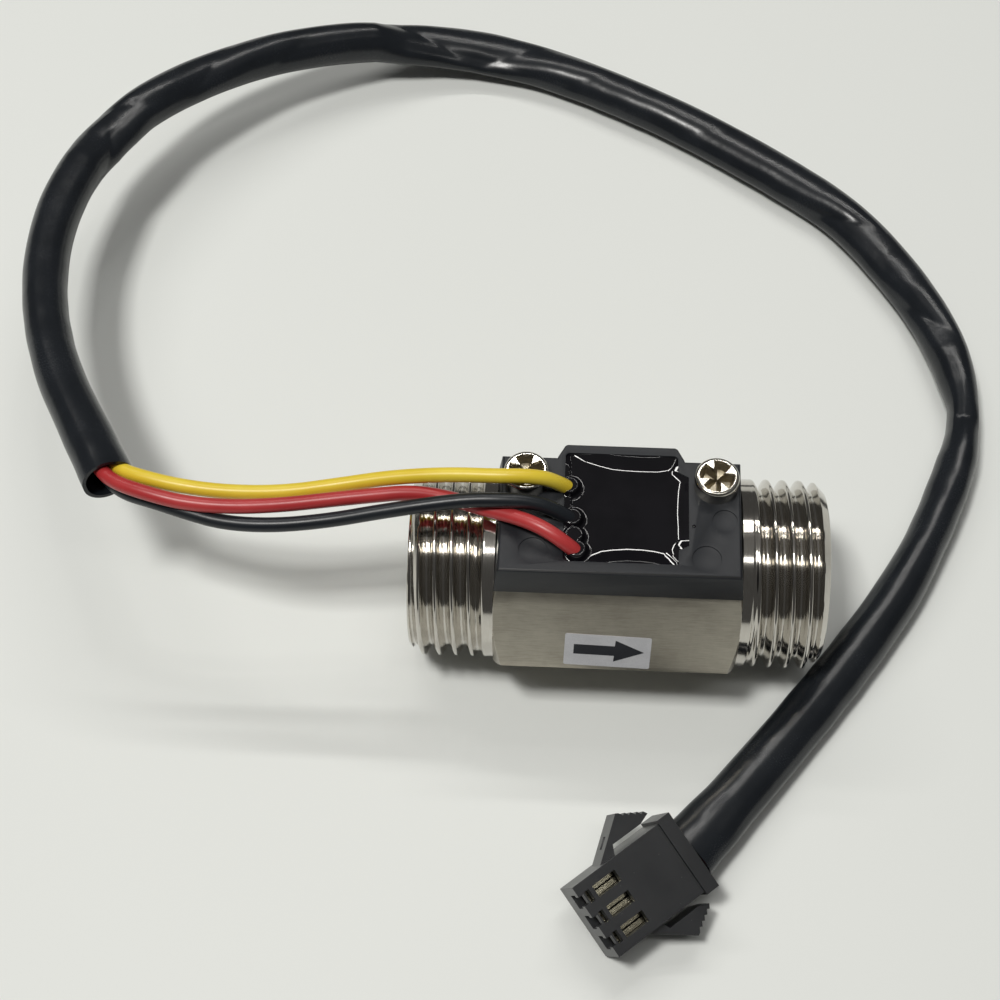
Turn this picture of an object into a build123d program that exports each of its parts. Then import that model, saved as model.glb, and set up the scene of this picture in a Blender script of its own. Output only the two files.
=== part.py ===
from build123d import *
import os
from math import atan2, ceil, cos, degrees, pi, radians, sin, sqrt, tan

# Inline water flow sensor with G1/2 male ends, in millimetres.
# The origin is under the middle of the body, on the surface that its bottom flat stands on.
# +X is the flow direction, the bore axis is parallel to X, +Y is the rear and +Z is up.

# Metal body: one bar, turned and bored, with its hexagon left in the middle
body_length = 45.2
hex_af = 21.5
hex_corner_recess = 1.0
thread_diameter = 20.955
thread_root_diameter = 18.63
thread_pitch = 1.814
thread_flank_angle = 27.5
thread_root_flat = 0.3
thread_crest_phase = {-1: 0.86, 1: 0.92}
thread_overcut = 0.15
thread_start_gap = 0.02
neck_width = 1.05
neck_relief = 0.05
neck_run_out_slope = 0.6
end_chamfer = 1.2
bore_diameter = 13.0
outlet_bore_diameter = 11.6
bore_lead = 0.6
flat_height = 8.3

# Turbine set inside the bore, stacked against the outlet shoulder
liner_length = 11.0
liner_wall = 0.6
spider_length = 6.0
spider_hub_diameter = 4.2
spider_vane = 0.8
spider_vanes = 4
nose_length = 2.2
ring_thickness = 0.9
ring_groove_depth = 0.5
ring_groove_play = 0.1
ring_width = 1.5
ring_mouth_angle = 40.0
ring_ear_radius = 1.0
ring_ear_hole = 0.45

# Rotor, its shaft and its two bushes
shaft_diameter = 1.5
shaft_engagement = 2.1
shaft_chamfer = 0.3
running_clearance = 0.04
bush_diameter = 2.8
bush_length = 2.9
bush_floor = 0.5
rotor_end_play = 0.25
rotor_tip_clearance = 0.3
rotor_boss_diameter = 2.6
rotor_boss_length = 0.8
rotor_hub_diameter = 5.2
rotor_vanes = 6
rotor_vane_thickness = 0.85
rotor_vane_inset = 0.25
rotor_vane_taper = 0.8
rotor_twist = 62.0
rotor_twist_steps = 4
magnet_length = 3.0
magnet_diameter = 8.4
magnet_bore = 3.6

# Moulded cap on the milled flat, with the well that holds the electronics
cap_length = 25.6
cap_end_inset = 0.45
cap_height = 3.7
cap_top_half_width = 6.95
cap_edge_radius = 0.3
well_left = 6.0
well_right = 6.15
well_front = 5.6
well_rear = 7.6
well_corner_radius = 0.5
bulge_wall = 1.05
bulge_half_width = 6.0
bulge_foot_half_width = 6.85
bulge_lip = 1.3
bulge_overlap = 1.2
bulge_foot_step = 0.1
niche_depth = 1.1
niche_front = 3.3
niche_rear = 5.0
niche_slant = 0.6
pin_mark_radius = 1.55
pin_mark_depth = 0.15
pin_mark_places = [(-9.15, -4.5), (9.1, -4.8)]
small_mark_place = (11.05, -0.2)
small_mark_radius = 1.35
board_ledge_width = 0.75
board_ledge_height = 1.05

# Two pan head screws that hold the cap
screw_diameter = 2.5
screw_clearance = 0.1
screw_x = 10.15
screw_y = 4.2
screw_length = 4.9
screw_head_diameter = 4.8
screw_head_height = 1.9
screw_head_round = 0.55
screw_tip_gap = 0.4
screw_tip_chamfer = 0.3
screw_turns = {-1: 8.0, 1: 69.0}
recess_depth = 1.0
recess_wing = 0.95
recess_span = 2.9

# Electronics in the well
board_thickness = 0.8
board_side_gap = 0.45
board_width = 9.6
hall_length = 4.1
hall_width = 3.0
hall_thickness = 1.5
hall_lead = 0.4
hall_lead_pitch = 1.27
hall_pocket_depth = 0.85
hall_pocket_play = 0.3
chip_length = 1.6
chip_width = 0.8
chip_height = 0.6
potting_below_rim = 0.35
solder_half = 0.75
resistor_place = (0.6, 3.2)
capacitor_place = (2.4, -3.4)
conductor_diameter = 0.8
conductor_length = 1.1

# Direction label on the lower part of the front face of the hexagon
label_length = 9.3
label_height = 4.0
label_thickness = 0.12
label_centre_x = -0.8
label_centre_up = 2.45
label_tilt = 1.7

# Three wires that leave the potting and enter the sleeve, in the order yellow, black, red
wire_diameter = 1.62

# Sleeve over the wires, and the three-way plug on its far end
sleeve_diameter = 5.6
sleeve_wall = 0.4
sleeve_mouth_depth = 5.0

plug_centre = (2.5, -34.9)
plug_yaw = 39.5
plug_roll = 20.0
plug_length = 11.4
plug_width = 8.5
plug_thickness = 5.6
plug_pitch = 2.5
plug_flange = 1.6
plug_flange_step = 0.35
plug_clear_of_table = 0.05
cavity_width = 2.0
cavity_height = 2.3
cavity_centre = 0.5
mouth_wall = 0.9
mouth_width = 1.6
mouth_lip = 0.6
rear_pocket_depth = 2.2
rear_pocket_wall = 0.7
tail_gather = 0.72
tail_lift = 0.5
tail_straight = 0.2
tail_reach = 2.0
plug_order = {1: "yellow", 0: "black", -1: "red"}
window_length = 2.9
window_width = 1.35
window_from_front = 1.85
slot_from_front = 0.8
slot_length = 0.55
mouth_notch_depth = 0.6
mouth_notch_width = 1.1
latch_from_front = 4.0
latch_corner = (4.5, 3.4)
latch_tip = (7.4, 1.7)
latch_tip_slope = 1.25
latch_neck = 2.4
latch_gap = 0.95
latch_root = 0.3
latch_height = 3.6
latch_teeth = 5
latch_tooth_depth = 0.3
latch_slot = (1.4, 0.35, 0.85)
latch_slot_place = 0.44
terminal_box_length = 5.6
terminal_wall = 0.2
terminal_clearance = 0.05
terminal_strip_length = 1.2
terminal_crimp_length = 2.0

# Worked-out sizes
axis_z = hex_af / 2
corner_radius = hex_af / sqrt(3)
half_body = body_length / 2
hex_length = cap_length + 2 * cap_end_inset
half_hex = hex_length / 2
thread_radius = thread_diameter / 2
bore_radius = bore_diameter / 2
outlet_bore_radius = outlet_bore_diameter / 2
half_liner = liner_length / 2
shoulder_x = half_liner + spider_length
ring_groove_radius = bore_radius + ring_groove_depth
flat_z = axis_z + flat_height
cap_top = flat_z + cap_height
flat_half_width = corner_radius - flat_height / sqrt(3)
bush_radius = bush_diameter / 2
shaft_radius = shaft_diameter / 2
rotor_half = half_liner - rotor_end_play
magnet_end = rotor_half - rotor_boss_length
magnet_start = magnet_end - magnet_length
magnet_x = (magnet_start + magnet_end) / 2
board_z = flat_z + board_ledge_height
board_top = board_z + board_thickness
potting_top = cap_top - potting_below_rim
wire_radius = wire_diameter / 2
hex_up = Vector(0, 0.5, sqrt(3) / 2)
hex_front_normal = Vector(0, -sqrt(3) / 2, 0.5)

# Route of each free wire from its pad to a little way into the sleeve, chosen by hand
wire_routes = {
    "yellow": [(-2.6, 3.0, 21.85), (-6.2, 2.9, 24.4), (-8.6, 2.75, 25.6), (-12.4, 2.55, 25.8),
               (-18.5, 3.0, 25.1), (-24.5, 3.1, 23.9), (-30.0, 2.6, 22.8), (-36.0, 1.6, 22.45),
               (-42.0, 1.35, 22.5), (-47.3, 1.75, 22.75), (-51.4, 2.75, 22.65), (-54.2, 3.85, 22.2),
               (-55.85, 5.6, 21.75), (-57.15, 7.5, 21.3)],
    "red": [(-3.0, -4.75, 21.85), (-5.5, -4.2, 23.75), (-7.6, -2.75, 24.6), (-10.6, -1.5, 24.95),
            (-14.6, -0.75, 25.1), (-18.4, 0.35, 25.1), (-22.2, 1.35, 24.6), (-26.5, 1.0, 23.8),
            (-31.0, 0.4, 23.3), (-36.0, -0.35, 23.15), (-41.5, -0.85, 23.2), (-46.6, -0.65, 23.4),
            (-50.9, 0.4, 23.5), (-54.6, 1.9, 23.0), (-56.7, 4.05, 22.45), (-58.4, 6.7, 21.85)],
    "black": [(-2.8, -0.8, 21.85), (-5.7, -0.1, 23.75), (-8.2, 0.55, 24.15), (-11.7, 0.85, 23.8),
              (-15.6, 1.1, 23.2), (-20.0, 0.7, 22.8), (-25.5, -0.6, 22.35), (-31.0, -1.7, 21.9),
              (-37.0, -2.45, 21.6), (-42.3, -2.3, 21.6), (-46.4, -1.2, 21.75), (-49.9, 0.05, 21.8),
              (-53.7, 1.5, 21.35), (-56.0, 3.7, 20.7), (-57.8, 6.6, 20.05)],
}

# Route of the sleeve's centre line from its mouth to the plug, chosen by hand
sleeve_route = [(-55.3, 3.0, 22.0), (-59.9, 10.3, 20.3), (-64.6, 18.6, 18.6), (-68.2, 28.4, 17.0),
                (-69.9, 38.4, 15.9), (-69.0, 48.2, 15.0), (-64.6, 58.6, 13.8), (-57.4, 67.4, 12.0),
                (-48.2, 74.8, 9.7), (-37.8, 80.8, 7.0), (-27.0, 84.4, 4.4), (-15.6, 84.1, 3.0),
                (-4.0, 79.6, 2.85), (8.6, 72.5, 2.85), (20.2, 65.2, 2.85), (29.9, 56.8, 2.85),
                (36.6, 46.6, 2.85), (41.2, 36.3, 2.85), (42.9, 25.2, 2.85), (39.6, 14.6, 2.85),
                (33.6, 3.3, 2.85), (27.2, -6.4, 2.85), (20.8, -14.8, 2.9), (16.2, -20.8, 3.2),
                (12.4, -25.8, 3.75), (8.9, -29.8, 4.3)]


def turned(points):
    """Solid of revolution about the bore axis from (x, radius) points, closed along the axis."""
    outline = [(x, 0, r) for x, r in points]
    face = make_face(Polyline(*outline, close=True))
    return Pos(0, 0, axis_z) * revolve(face, Axis.X, 360)


def pipe(x0, x1, outer, inner):
    """Plain ring about the bore axis between two stations."""
    return turned([(x0, inner), (x0, outer), (x1, outer), (x1, inner)])


def block(x0, x1, y0, y1, z0, z1):
    """Rectangular block between two corners."""
    middle = Pos((x0 + x1) / 2, (y0 + y1) / 2, (z0 + z1) / 2)
    return middle * Box(x1 - x0, y1 - y0, z1 - z0)


def upright(points, z0, z1):
    """Prism with a level outline between two heights."""
    face = make_face(Polyline(*[(x, y, z0) for x, y in points], close=True))
    return extrude(face, z1 - z0, dir=(0, 0, 1))


def peg(x, y, z0, z1, radius):
    """Upright cylinder."""
    return Pos(x, y, (z0 + z1) / 2) * Cylinder(radius, z1 - z0)


def thread_groove(side):
    """Turns of the helical groove of one end's thread, from its neck out past its end.

    side is -1 for the inlet and 1 for the outlet. A crest lies at the rear where x is a whole
    number of pitches plus the phase, and moves along +X as it turns from the rear over the top.
    """
    root = thread_root_diameter / 2
    depth = thread_radius - root + thread_overcut
    half_floor = thread_root_flat / 2
    half_mouth = half_floor + depth * tan(radians(thread_flank_angle))
    start = half_hex + half_mouth + thread_start_gap
    helix = Helix(pitch=thread_pitch, height=thread_pitch, radius=root)
    profile = make_face(Polyline((0, -half_floor), (depth, -half_mouth), (depth, half_mouth),
                                 (0, half_floor), close=True))
    section = Plane(origin=helix @ 0, x_dir=(1, 0, 0), z_dir=helix % 0) * profile
    one_turn = sweep(section, path=helix, is_frenet=True)
    turn = 360 * (start / thread_pitch - side * (0.5 + thread_crest_phase[side]))
    place = Plane(origin=(side * start, 0, axis_z), x_dir=(0, 1, 0), z_dir=(side, 0, 0)).location
    turns = ceil((half_body + half_mouth - start) / thread_pitch)
    return [place * Pos(0, 0, k * thread_pitch) * Rot(0, 0, turn) * one_turn for k in range(turns)]


def make_body():
    """Turned and threaded body with hexagon, necks, bore, ring groove, flat and blind holes."""
    hexagon = [(corner_radius * cos(radians(60 * k)), corner_radius * sin(radians(60 * k)))
               for k in range(6)]
    outline = [(-half_hex, y, axis_z + z) for y, z in hexagon]
    prism = extrude(make_face(Polyline(*outline, close=True)), hex_length, dir=(1, 0, 0))
    full = half_hex - hex_corner_recess
    edge = hex_af / 2
    crowned = turned([(-half_hex, 0), (-half_hex, edge), (-full, corner_radius + 0.01),
                      (full, corner_radius + 0.01), (half_hex, edge), (half_hex, 0)])
    hex_part = prism & crowned
    flat_cut = block(-half_hex, half_hex, -corner_radius, corner_radius, flat_z, 2 * hex_af)
    neck_radius = thread_root_diameter / 2 - neck_relief
    run_out = thread_radius - neck_radius
    neck_end = half_hex + neck_width
    half = [(neck_end, neck_radius), (neck_end + run_out * neck_run_out_slope, thread_radius),
            (half_body - end_chamfer, thread_radius), (half_body, thread_radius - end_chamfer)]
    outer = [(-x, r) for x, r in reversed(half)] + half
    barrel = turned([(-half_body, 0)] + outer + [(half_body, 0)])
    for side in (-1, 1):
        barrel -= thread_groove(side)
    body = hex_part + barrel - flat_cut
    groove_end = shoulder_x - 2 * spider_length - liner_length
    groove_start = groove_end - ring_thickness - ring_groove_play
    body -= turned([(-half_body, 0), (-half_body, bore_radius + bore_lead),
                    (-half_body + bore_lead, bore_radius), (groove_start, bore_radius),
                    (groove_start, ring_groove_radius), (groove_end, ring_groove_radius),
                    (groove_end, bore_radius), (shoulder_x, bore_radius),
                    (shoulder_x, outlet_bore_radius), (half_body - bore_lead, outlet_bore_radius),
                    (half_body, outlet_bore_radius + bore_lead), (half_body, 0)])
    body -= block(magnet_x - hall_length / 2 - hall_pocket_play,
                  magnet_x + hall_length / 2 + hall_pocket_play,
                  -hall_width / 2 - hall_pocket_play, hall_width / 2 + hall_pocket_play,
                  flat_z - hall_pocket_depth, flat_z + 1)
    tip = cap_top - screw_length - screw_tip_gap
    for side in (-1, 1):
        body -= peg(side * screw_x, screw_y, tip, flat_z + 1, screw_diameter / 2)
    return body


def make_spider(flow_side):
    """Bearing carrier: a ring, straight vanes and a hub with a rounded nose and a bush seat.

    flow_side is -1 for the inlet and 1 for the outlet.
    """
    inner = half_liner
    outer = half_liner + spider_length
    hub = spider_hub_diameter / 2
    rim = pipe(inner, outer, bore_radius, bore_radius - liner_wall)
    nose_steps = 6
    nose = [(outer + nose_length * sin(radians(90 * k / nose_steps)),
             hub * cos(radians(90 * k / nose_steps))) for k in range(nose_steps + 1)]
    core = turned([(inner, 0), (inner, hub)] + nose)
    spider = rim + core
    reach = bore_radius - liner_wall / 2
    for k in range(spider_vanes):
        turn = 360 * k / spider_vanes + 45
        blade = Pos((inner + outer) / 2, 0, reach / 2) * Box(spider_length, spider_vane, reach)
        spider += Pos(0, 0, axis_z) * (Rot(turn, 0, 0) * blade)
    spider -= turned([(inner, 0), (inner, bush_radius), (inner + bush_length, bush_radius),
                      (inner + bush_length, 0)])
    if flow_side < 0:
        spider = mirror(spider, about=Plane.YZ)
    return spider


def make_bush(flow_side):
    """Blind bearing bush in a spider's hub."""
    hole = shaft_radius + running_clearance
    inner = half_liner
    floor_x = inner + bush_length - bush_floor
    bush = turned([(inner, hole), (inner, bush_radius), (inner + bush_length, bush_radius),
                   (inner + bush_length, 0), (floor_x, 0), (floor_x, hole)])
    if flow_side < 0:
        bush = mirror(bush, about=Plane.YZ)
    return bush


def make_liner():
    """Spacer sleeve that keeps the two spiders apart and forms the rotor's chamber."""
    return pipe(-half_liner, half_liner, bore_radius, bore_radius - liner_wall)


def make_retaining_ring():
    """Internal retaining ring with two drilled ears beside its mouth."""
    x1 = shoulder_x - 2 * spider_length - liner_length
    x0 = x1 - ring_thickness
    ring = pipe(x0, x1, ring_groove_radius, ring_groove_radius - ring_width)
    half_mouth = radians(ring_mouth_angle / 2)
    far = 2 * ring_groove_radius
    wedge = [(0, 0), (far * sin(half_mouth), far * cos(half_mouth)),
             (-far * sin(half_mouth), far * cos(half_mouth))]
    mouth = make_face(Polyline(*[(x0 - 1, y, axis_z - z) for y, z in wedge], close=True))
    ear_seat = ring_groove_radius - ring_width
    for side in (-1, 1):
        turn = half_mouth + ring_ear_radius / ear_seat
        y = side * ear_seat * sin(turn)
        z = axis_z - ear_seat * cos(turn)
        ear = Cylinder(ring_ear_radius, ring_thickness)
        hole = Cylinder(ring_ear_hole, 2 * ring_thickness)
        place = Pos((x0 + x1) / 2, y, z) * Rot(0, 90, 0)
        ring = ring + place * ear - place * hole
    return ring - extrude(mouth, ring_thickness + 2, dir=(1, 0, 0))


def make_rotor():
    """Axial turbine wheel: stepped hub with a seat for the magnet, and twisted vanes."""
    boss = rotor_boss_diameter / 2
    hub = rotor_hub_diameter / 2
    seat = magnet_bore / 2
    shoulder = magnet_start
    front = -rotor_half + rotor_boss_length
    core = turned([(-rotor_half, shaft_radius), (-rotor_half, boss), (front, boss),
                   (front + hub - boss, hub), (shoulder, hub), (shoulder, seat),
                   (magnet_end, seat), (magnet_end, boss), (rotor_half, boss),
                   (rotor_half, shaft_radius)])
    vane_start = front + hub - boss
    vane_end = shoulder - rotor_vane_inset
    tip = bore_radius - liner_wall - rotor_tip_clearance
    root = hub - rotor_vane_inset
    half = rotor_vane_thickness / 2
    half_tip = half * rotor_vane_taper
    sections = []
    for k in range(rotor_twist_steps + 1):
        share = k / rotor_twist_steps
        x = vane_start + (vane_end - vane_start) * share
        corners = [(x, -half, root), (x, half, root), (x, half_tip, tip), (x, -half_tip, tip)]
        section = make_face(Polyline(*corners, close=True))
        sections.append(Rot(rotor_twist * share, 0, 0) * section)
    vane = loft(sections)
    rotor = core
    for k in range(rotor_vanes):
        rotor += Pos(0, 0, axis_z) * (Rot(360 * k / rotor_vanes, 0, 0) * vane)
    return rotor


def make_magnet():
    """Ring magnet on the rear seat of the rotor."""
    return pipe(magnet_start, magnet_end, magnet_diameter / 2, magnet_bore / 2)


def make_shaft():
    """Shaft pressed through the rotor, with chamfered ends that run in the bushes."""
    end = half_liner + shaft_engagement
    inset = shaft_radius - shaft_chamfer
    return turned([(-end, 0), (-end, inset), (-end + shaft_chamfer, shaft_radius),
                   (end - shaft_chamfer, shaft_radius), (end, inset), (end, 0)])


def well_outline():
    """Level outline of the potting well, with its side niche."""
    niche_x = well_right + niche_depth
    return [(-well_left, -well_front), (well_right, -well_front),
            (well_right, -niche_front - niche_slant), (niche_x, -niche_front),
            (niche_x, niche_rear), (well_right, niche_rear + niche_slant),
            (well_right, well_rear), (-well_left, well_rear)]


def board_ledges():
    """Ledges at the two ends of the well that the board rests on."""
    left = block(-well_left, -well_left + board_ledge_width, -well_front, well_rear,
                 flat_z, board_z)
    right = block(well_right - board_ledge_width, well_right, -well_front, well_rear,
                  flat_z, board_z)
    return left + right


def make_cap(body):
    """Moulded cap: drafted bar on the flat, open well with a bulged rear wall, screw holes."""
    profile = [(-flat_half_width, flat_z), (-cap_top_half_width, cap_top),
               (cap_top_half_width, cap_top), (flat_half_width, flat_z)]
    outline = [(-cap_length / 2, y, z) for y, z in profile]
    cap = extrude(make_face(Polyline(*outline, close=True)), cap_length, dir=(1, 0, 0))
    top_edges = cap.edges().filter_by(lambda e: abs(e.center().Z - cap_top) < 0.01)
    cap = fillet(top_edges, cap_edge_radius)
    rear = well_rear + bulge_wall
    foot = cap_top_half_width + bulge_foot_step
    wings = [(-bulge_foot_half_width, cap_top_half_width - bulge_overlap),
             (-bulge_foot_half_width, foot), (-bulge_half_width, rear), (bulge_half_width, rear),
             (bulge_foot_half_width, foot),
             (bulge_foot_half_width, cap_top_half_width - bulge_overlap)]
    bulge = upright(wings, flat_z - bulge_lip, cap_top)
    corners = bulge.edges().filter_by(Axis.Z).filter_by(lambda e: e.center().Y > cap_top_half_width)
    bulge = fillet(corners, well_corner_radius)
    rim = bulge.faces().sort_by(Axis.Z)[-1].edges()
    rim = rim.filter_by(lambda e: e.center().Y > foot)
    bulge = fillet(rim, cap_edge_radius / 2)
    cap += bulge - body
    well = upright(well_outline(), flat_z - bulge_lip, cap_top + 1)
    well_corners = well.edges().filter_by(Axis.Z).filter_by(
        lambda e: e.center().X < 0 or abs(e.center().Y) > niche_rear + 1)
    well = fillet(well_corners, well_corner_radius)
    cap -= well
    cap += board_ledges()
    for side in (-1, 1):
        cap -= peg(side * screw_x, screw_y, flat_z - 1, cap_top + 1,
                   screw_diameter / 2 + screw_clearance)
    for x, y in pin_mark_places:
        cap -= peg(x, y, cap_top - pin_mark_depth, cap_top + 1, pin_mark_radius)
    cap -= peg(*small_mark_place, cap_top - pin_mark_depth, cap_top + 1, small_mark_radius)
    return cap, well


def make_screw(side):
    """Pan head screw with a cross recess, its head seated on the cap."""
    x = side * screw_x
    head = Pos(x, screw_y, cap_top + screw_head_height / 2) * Cylinder(
        screw_head_diameter / 2, screw_head_height)
    rim = head.edges().sort_by(Axis.Z)[-1]
    head = fillet(rim, screw_head_round)
    shank = peg(x, screw_y, cap_top - screw_length, cap_top, screw_diameter / 2)
    lower = shank.edges().sort_by(Axis.Z)[0]
    shank = chamfer(lower, screw_tip_chamfer)
    recess_z = cap_top + screw_head_height - recess_depth / 2
    wing = Box(recess_span, recess_wing, recess_depth)
    turn = screw_turns[side]
    cross = Rot(0, 0, turn) * wing + Rot(0, 0, turn + 90) * wing
    return head + shank - Pos(x, screw_y, recess_z) * cross


def make_board():
    """Circuit board on the two ledges of the well."""
    return block(-well_left + board_side_gap, well_right - board_side_gap,
                 -board_width / 2, board_width / 2, board_z, board_top)


def make_hall_sensor():
    """Hall sensor, flat in the pocket over the rotor's magnet, with three leads to the board."""
    low = flat_z - hall_pocket_depth
    package = block(magnet_x - hall_length / 2, magnet_x + hall_length / 2,
                    -hall_width / 2, hall_width / 2, low, low + hall_thickness)
    sensor = package
    for k in (-1, 0, 1):
        x = magnet_x + k * hall_lead_pitch
        half = hall_lead / 2
        foot = block(x - half, x + half, hall_width / 2, hall_width / 2 + 2 * hall_lead,
                     low + hall_thickness - hall_lead, low + hall_thickness)
        post = block(x - half, x + half, hall_width / 2 + hall_lead,
                     hall_width / 2 + 2 * hall_lead, low + hall_thickness - hall_lead, board_z)
        sensor += foot + post
    return sensor


def make_chip(x, y):
    """Chip part on the board."""
    chip = block(x - chip_length / 2, x + chip_length / 2, y - chip_width / 2, y + chip_width / 2,
                 board_top, board_top + chip_height)
    return chip


def tube_path(points, radius_share=0.45):
    """Straight runs joined by tangent arcs, each as large as its two runs allow."""
    corners = [Vector(*p) for p in points]
    radii = []
    for before, at, after in zip(corners, corners[1:], corners[2:]):
        run = min((at - before).length, (after - at).length)
        turn = (at - before).get_angle(after - at)
        radii.append(radius_share * run / tan(radians(turn) / 2))
    return FilletPolyline(*corners, radius=radii), radii


def tube(points, diameter, name):
    """Round tube along a route, with its arcs and its volume checked against its length."""
    path, radii = tube_path(points)
    start = Plane(origin=path @ 0, z_dir=path % 0)
    solid = sweep(start * Circle(diameter / 2), path=path)
    ideal = pi * diameter ** 2 / 4 * path.length
    print(f"{name}: length {path.length:.1f}, smallest radius {min(radii):.1f}, radii",
          [round(r, 1) for r in radii], f"volume share {solid.volume / ideal:.4f}")
    return solid


def bare_tip(colour):
    """Bare conductor at the board end of one wire, level over its pad."""
    start = Vector(*wire_routes[colour][0]) - Vector(conductor_diameter / 4, 0, 0)
    face = Plane(origin=start, x_dir=(0, 1, 0), z_dir=(1, 0, 0)) * Circle(conductor_diameter / 2)
    return extrude(face, conductor_length)


def make_solder(colour, wire):
    """Solder joint that ties the bare tip of one wire to the board."""
    x, y, z = wire_routes[colour][0]
    middle = x + conductor_length
    rise = z - board_top + conductor_diameter / 2
    dome = Pos(middle, y, board_top) * Sphere(rise)
    dome &= block(middle - solder_half, middle + solder_half, y - solder_half, y + solder_half,
                  board_top, cap_top)
    return dome - wire


def plug_location():
    """Place of the plug: its own X runs from its front to the sleeve and its own Y is its left."""
    along = Vector(cos(radians(plug_yaw)), sin(radians(plug_yaw)), 0)
    level = Vector(-sin(radians(plug_yaw)), cos(radians(plug_yaw)), 0)
    left = level * cos(radians(plug_roll)) + Vector(0, 0, 1) * sin(radians(plug_roll))
    height = ((plug_width / 2 + plug_flange_step) * sin(radians(plug_roll))
              + (plug_thickness / 2 + plug_flange_step) * cos(radians(plug_roll))
              + plug_clear_of_table)
    plane = Plane(origin=(*plug_centre, height), x_dir=along, z_dir=along.cross(left))
    return plane.location


def latch_outline():
    """Level outline of the left latch arm: springing out of the wall, then a toothed pad."""
    front = -plug_length / 2 + latch_from_front
    wall = plug_width / 2
    corner = (front + latch_corner[0], wall + latch_corner[1])
    tip = (front + latch_tip[0], wall + latch_tip[1])
    teeth = []
    for k in range(latch_teeth):
        for share, depth in ((k + 0.5, 0.0), (k + 1.0, latch_tooth_depth)):
            part = share / latch_teeth
            teeth.append((corner[0] + (tip[0] - corner[0]) * part,
                          corner[1] + (tip[1] - corner[1]) * part - depth))
    inner = wall + latch_gap
    return ([(front, wall - latch_root), (front, wall), corner] + teeth
            + [(tip[0] - latch_tip_slope, inner), (front + latch_neck, inner),
               (front + latch_neck - latch_gap / 2, wall), (front + latch_neck, wall - latch_root)])


def make_plug_housing():
    """Three-way plug housing with cavities, windows, notched mouths, rear flange and latches."""
    half_l, half_w, half_t = plug_length / 2, plug_width / 2, plug_thickness / 2
    shell = block(-half_l, half_l, -half_w, half_w, -half_t, half_t)
    step = plug_flange_step
    rear = half_l + plug_flange
    shell += block(half_l, rear, -half_w - step, half_w + step, -half_t - step, half_t + step)
    arm = upright(latch_outline(), -latch_height / 2, latch_height / 2)
    length, depth, width = latch_slot
    arm -= (Pos(-half_l + latch_from_front + latch_corner[0] * latch_slot_place,
                half_w + latch_corner[1] * latch_slot_place, 0)
            * Rot(0, 0, degrees(atan2(latch_corner[1], latch_corner[0]))) * Box(length, 2 * depth, width))
    shell += arm
    shell += mirror(arm, about=Plane.XZ)
    floor_w = cavity_centre - cavity_height / 2
    roof_w = cavity_centre + cavity_height / 2
    mouth_x = -half_l + mouth_wall
    shell -= block(rear - rear_pocket_depth, rear + 1, -half_w + rear_pocket_wall,
                   half_w - rear_pocket_wall, floor_w, roof_w)
    for k in (-1, 0, 1):
        v = k * plug_pitch
        half = cavity_width / 2
        shell -= block(mouth_x, rear, v - half, v + half, floor_w, roof_w)
        shell -= block(-half_l - 1, mouth_x, v - mouth_width / 2, v + mouth_width / 2,
                       floor_w + mouth_lip, roof_w)
        front = -half_l + window_from_front
        shell -= block(front, front + window_length, v - window_width / 2, v + window_width / 2,
                       roof_w - 0.1, half_t + 1)
        front = -half_l + slot_from_front
        shell -= block(front, front + slot_length, v - window_width / 2, v + window_width / 2,
                       roof_w - 0.1, half_t + 1)
        shell -= block(-half_l - 1, -half_l + mouth_notch_depth, v - mouth_notch_width / 2,
                       v + mouth_notch_width / 2, roof_w - 0.1, half_t + 1)
    return plug_location() * shell


def make_terminal(k):
    """Crimp terminal of one way: folded box contact, floor strip and crimp barrel on the wire."""
    v = k * plug_pitch
    front = -plug_length / 2 + mouth_wall + terminal_clearance
    floor_w = cavity_centre - cavity_height / 2
    half = cavity_width / 2 - terminal_clearance
    top = floor_w + 2 * half
    box_end = front + terminal_box_length
    box = block(front, box_end, v - half, v + half, floor_w, top)
    box -= block(front - 1, box_end + 1, v - half + terminal_wall, v + half - terminal_wall,
                 floor_w + terminal_wall, top - terminal_wall)
    slit = terminal_wall / 2
    box -= block(front + terminal_wall, box_end - terminal_wall, v - slit, v + slit,
                 top - 2 * terminal_wall, top + 1)
    barrel_end = box_end + terminal_strip_length + terminal_crimp_length
    barrel_start = box_end + terminal_strip_length
    strip = block(box_end - terminal_wall, barrel_end, v - half / 2, v + half / 2,
                  floor_w, cavity_centre - wire_radius)
    ring = Rot(0, 90, 0) * Cylinder(half, terminal_crimp_length)
    hole = Rot(0, 90, 0) * Cylinder(wire_radius, 2 * plug_length)
    middle = (barrel_start + barrel_end) / 2
    terminal = box + strip + Pos(middle, v, cavity_centre) * ring
    terminal -= Pos(barrel_start + plug_length, v, cavity_centre) * hole
    return plug_location() * terminal


def wire_tail(k, sleeve):
    """Stretch of one wire between its crimp and the end of the sleeve."""
    location = plug_location()
    v = k * plug_pitch
    start = (-plug_length / 2 + mouth_wall + terminal_clearance + terminal_box_length
             + terminal_strip_length)
    rear = plug_length / 2 + plug_flange
    local = [(start, v, cavity_centre), (rear - rear_pocket_depth + tail_straight, v, cavity_centre),
             (rear + tail_reach, v * tail_gather, cavity_centre * tail_lift)]
    points = [tuple((location * Pos(*p)).position) for p in local]
    path, _ = tube_path(points)
    first = Plane(origin=path @ 0, z_dir=path % 0)
    return sweep(first * Circle(wire_radius), path=path) - sleeve


def make_sleeve():
    """Insulating sleeve over the wires, open at its mouth."""
    solid = tube(sleeve_route, sleeve_diameter, "sleeve")
    first, second = Vector(*sleeve_route[0]), Vector(*sleeve_route[1])
    mouth = Plane(origin=first, z_dir=second - first)
    bore = extrude(mouth * Circle(sleeve_diameter / 2 - sleeve_wall), sleeve_mouth_depth)
    return solid - bore


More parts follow.
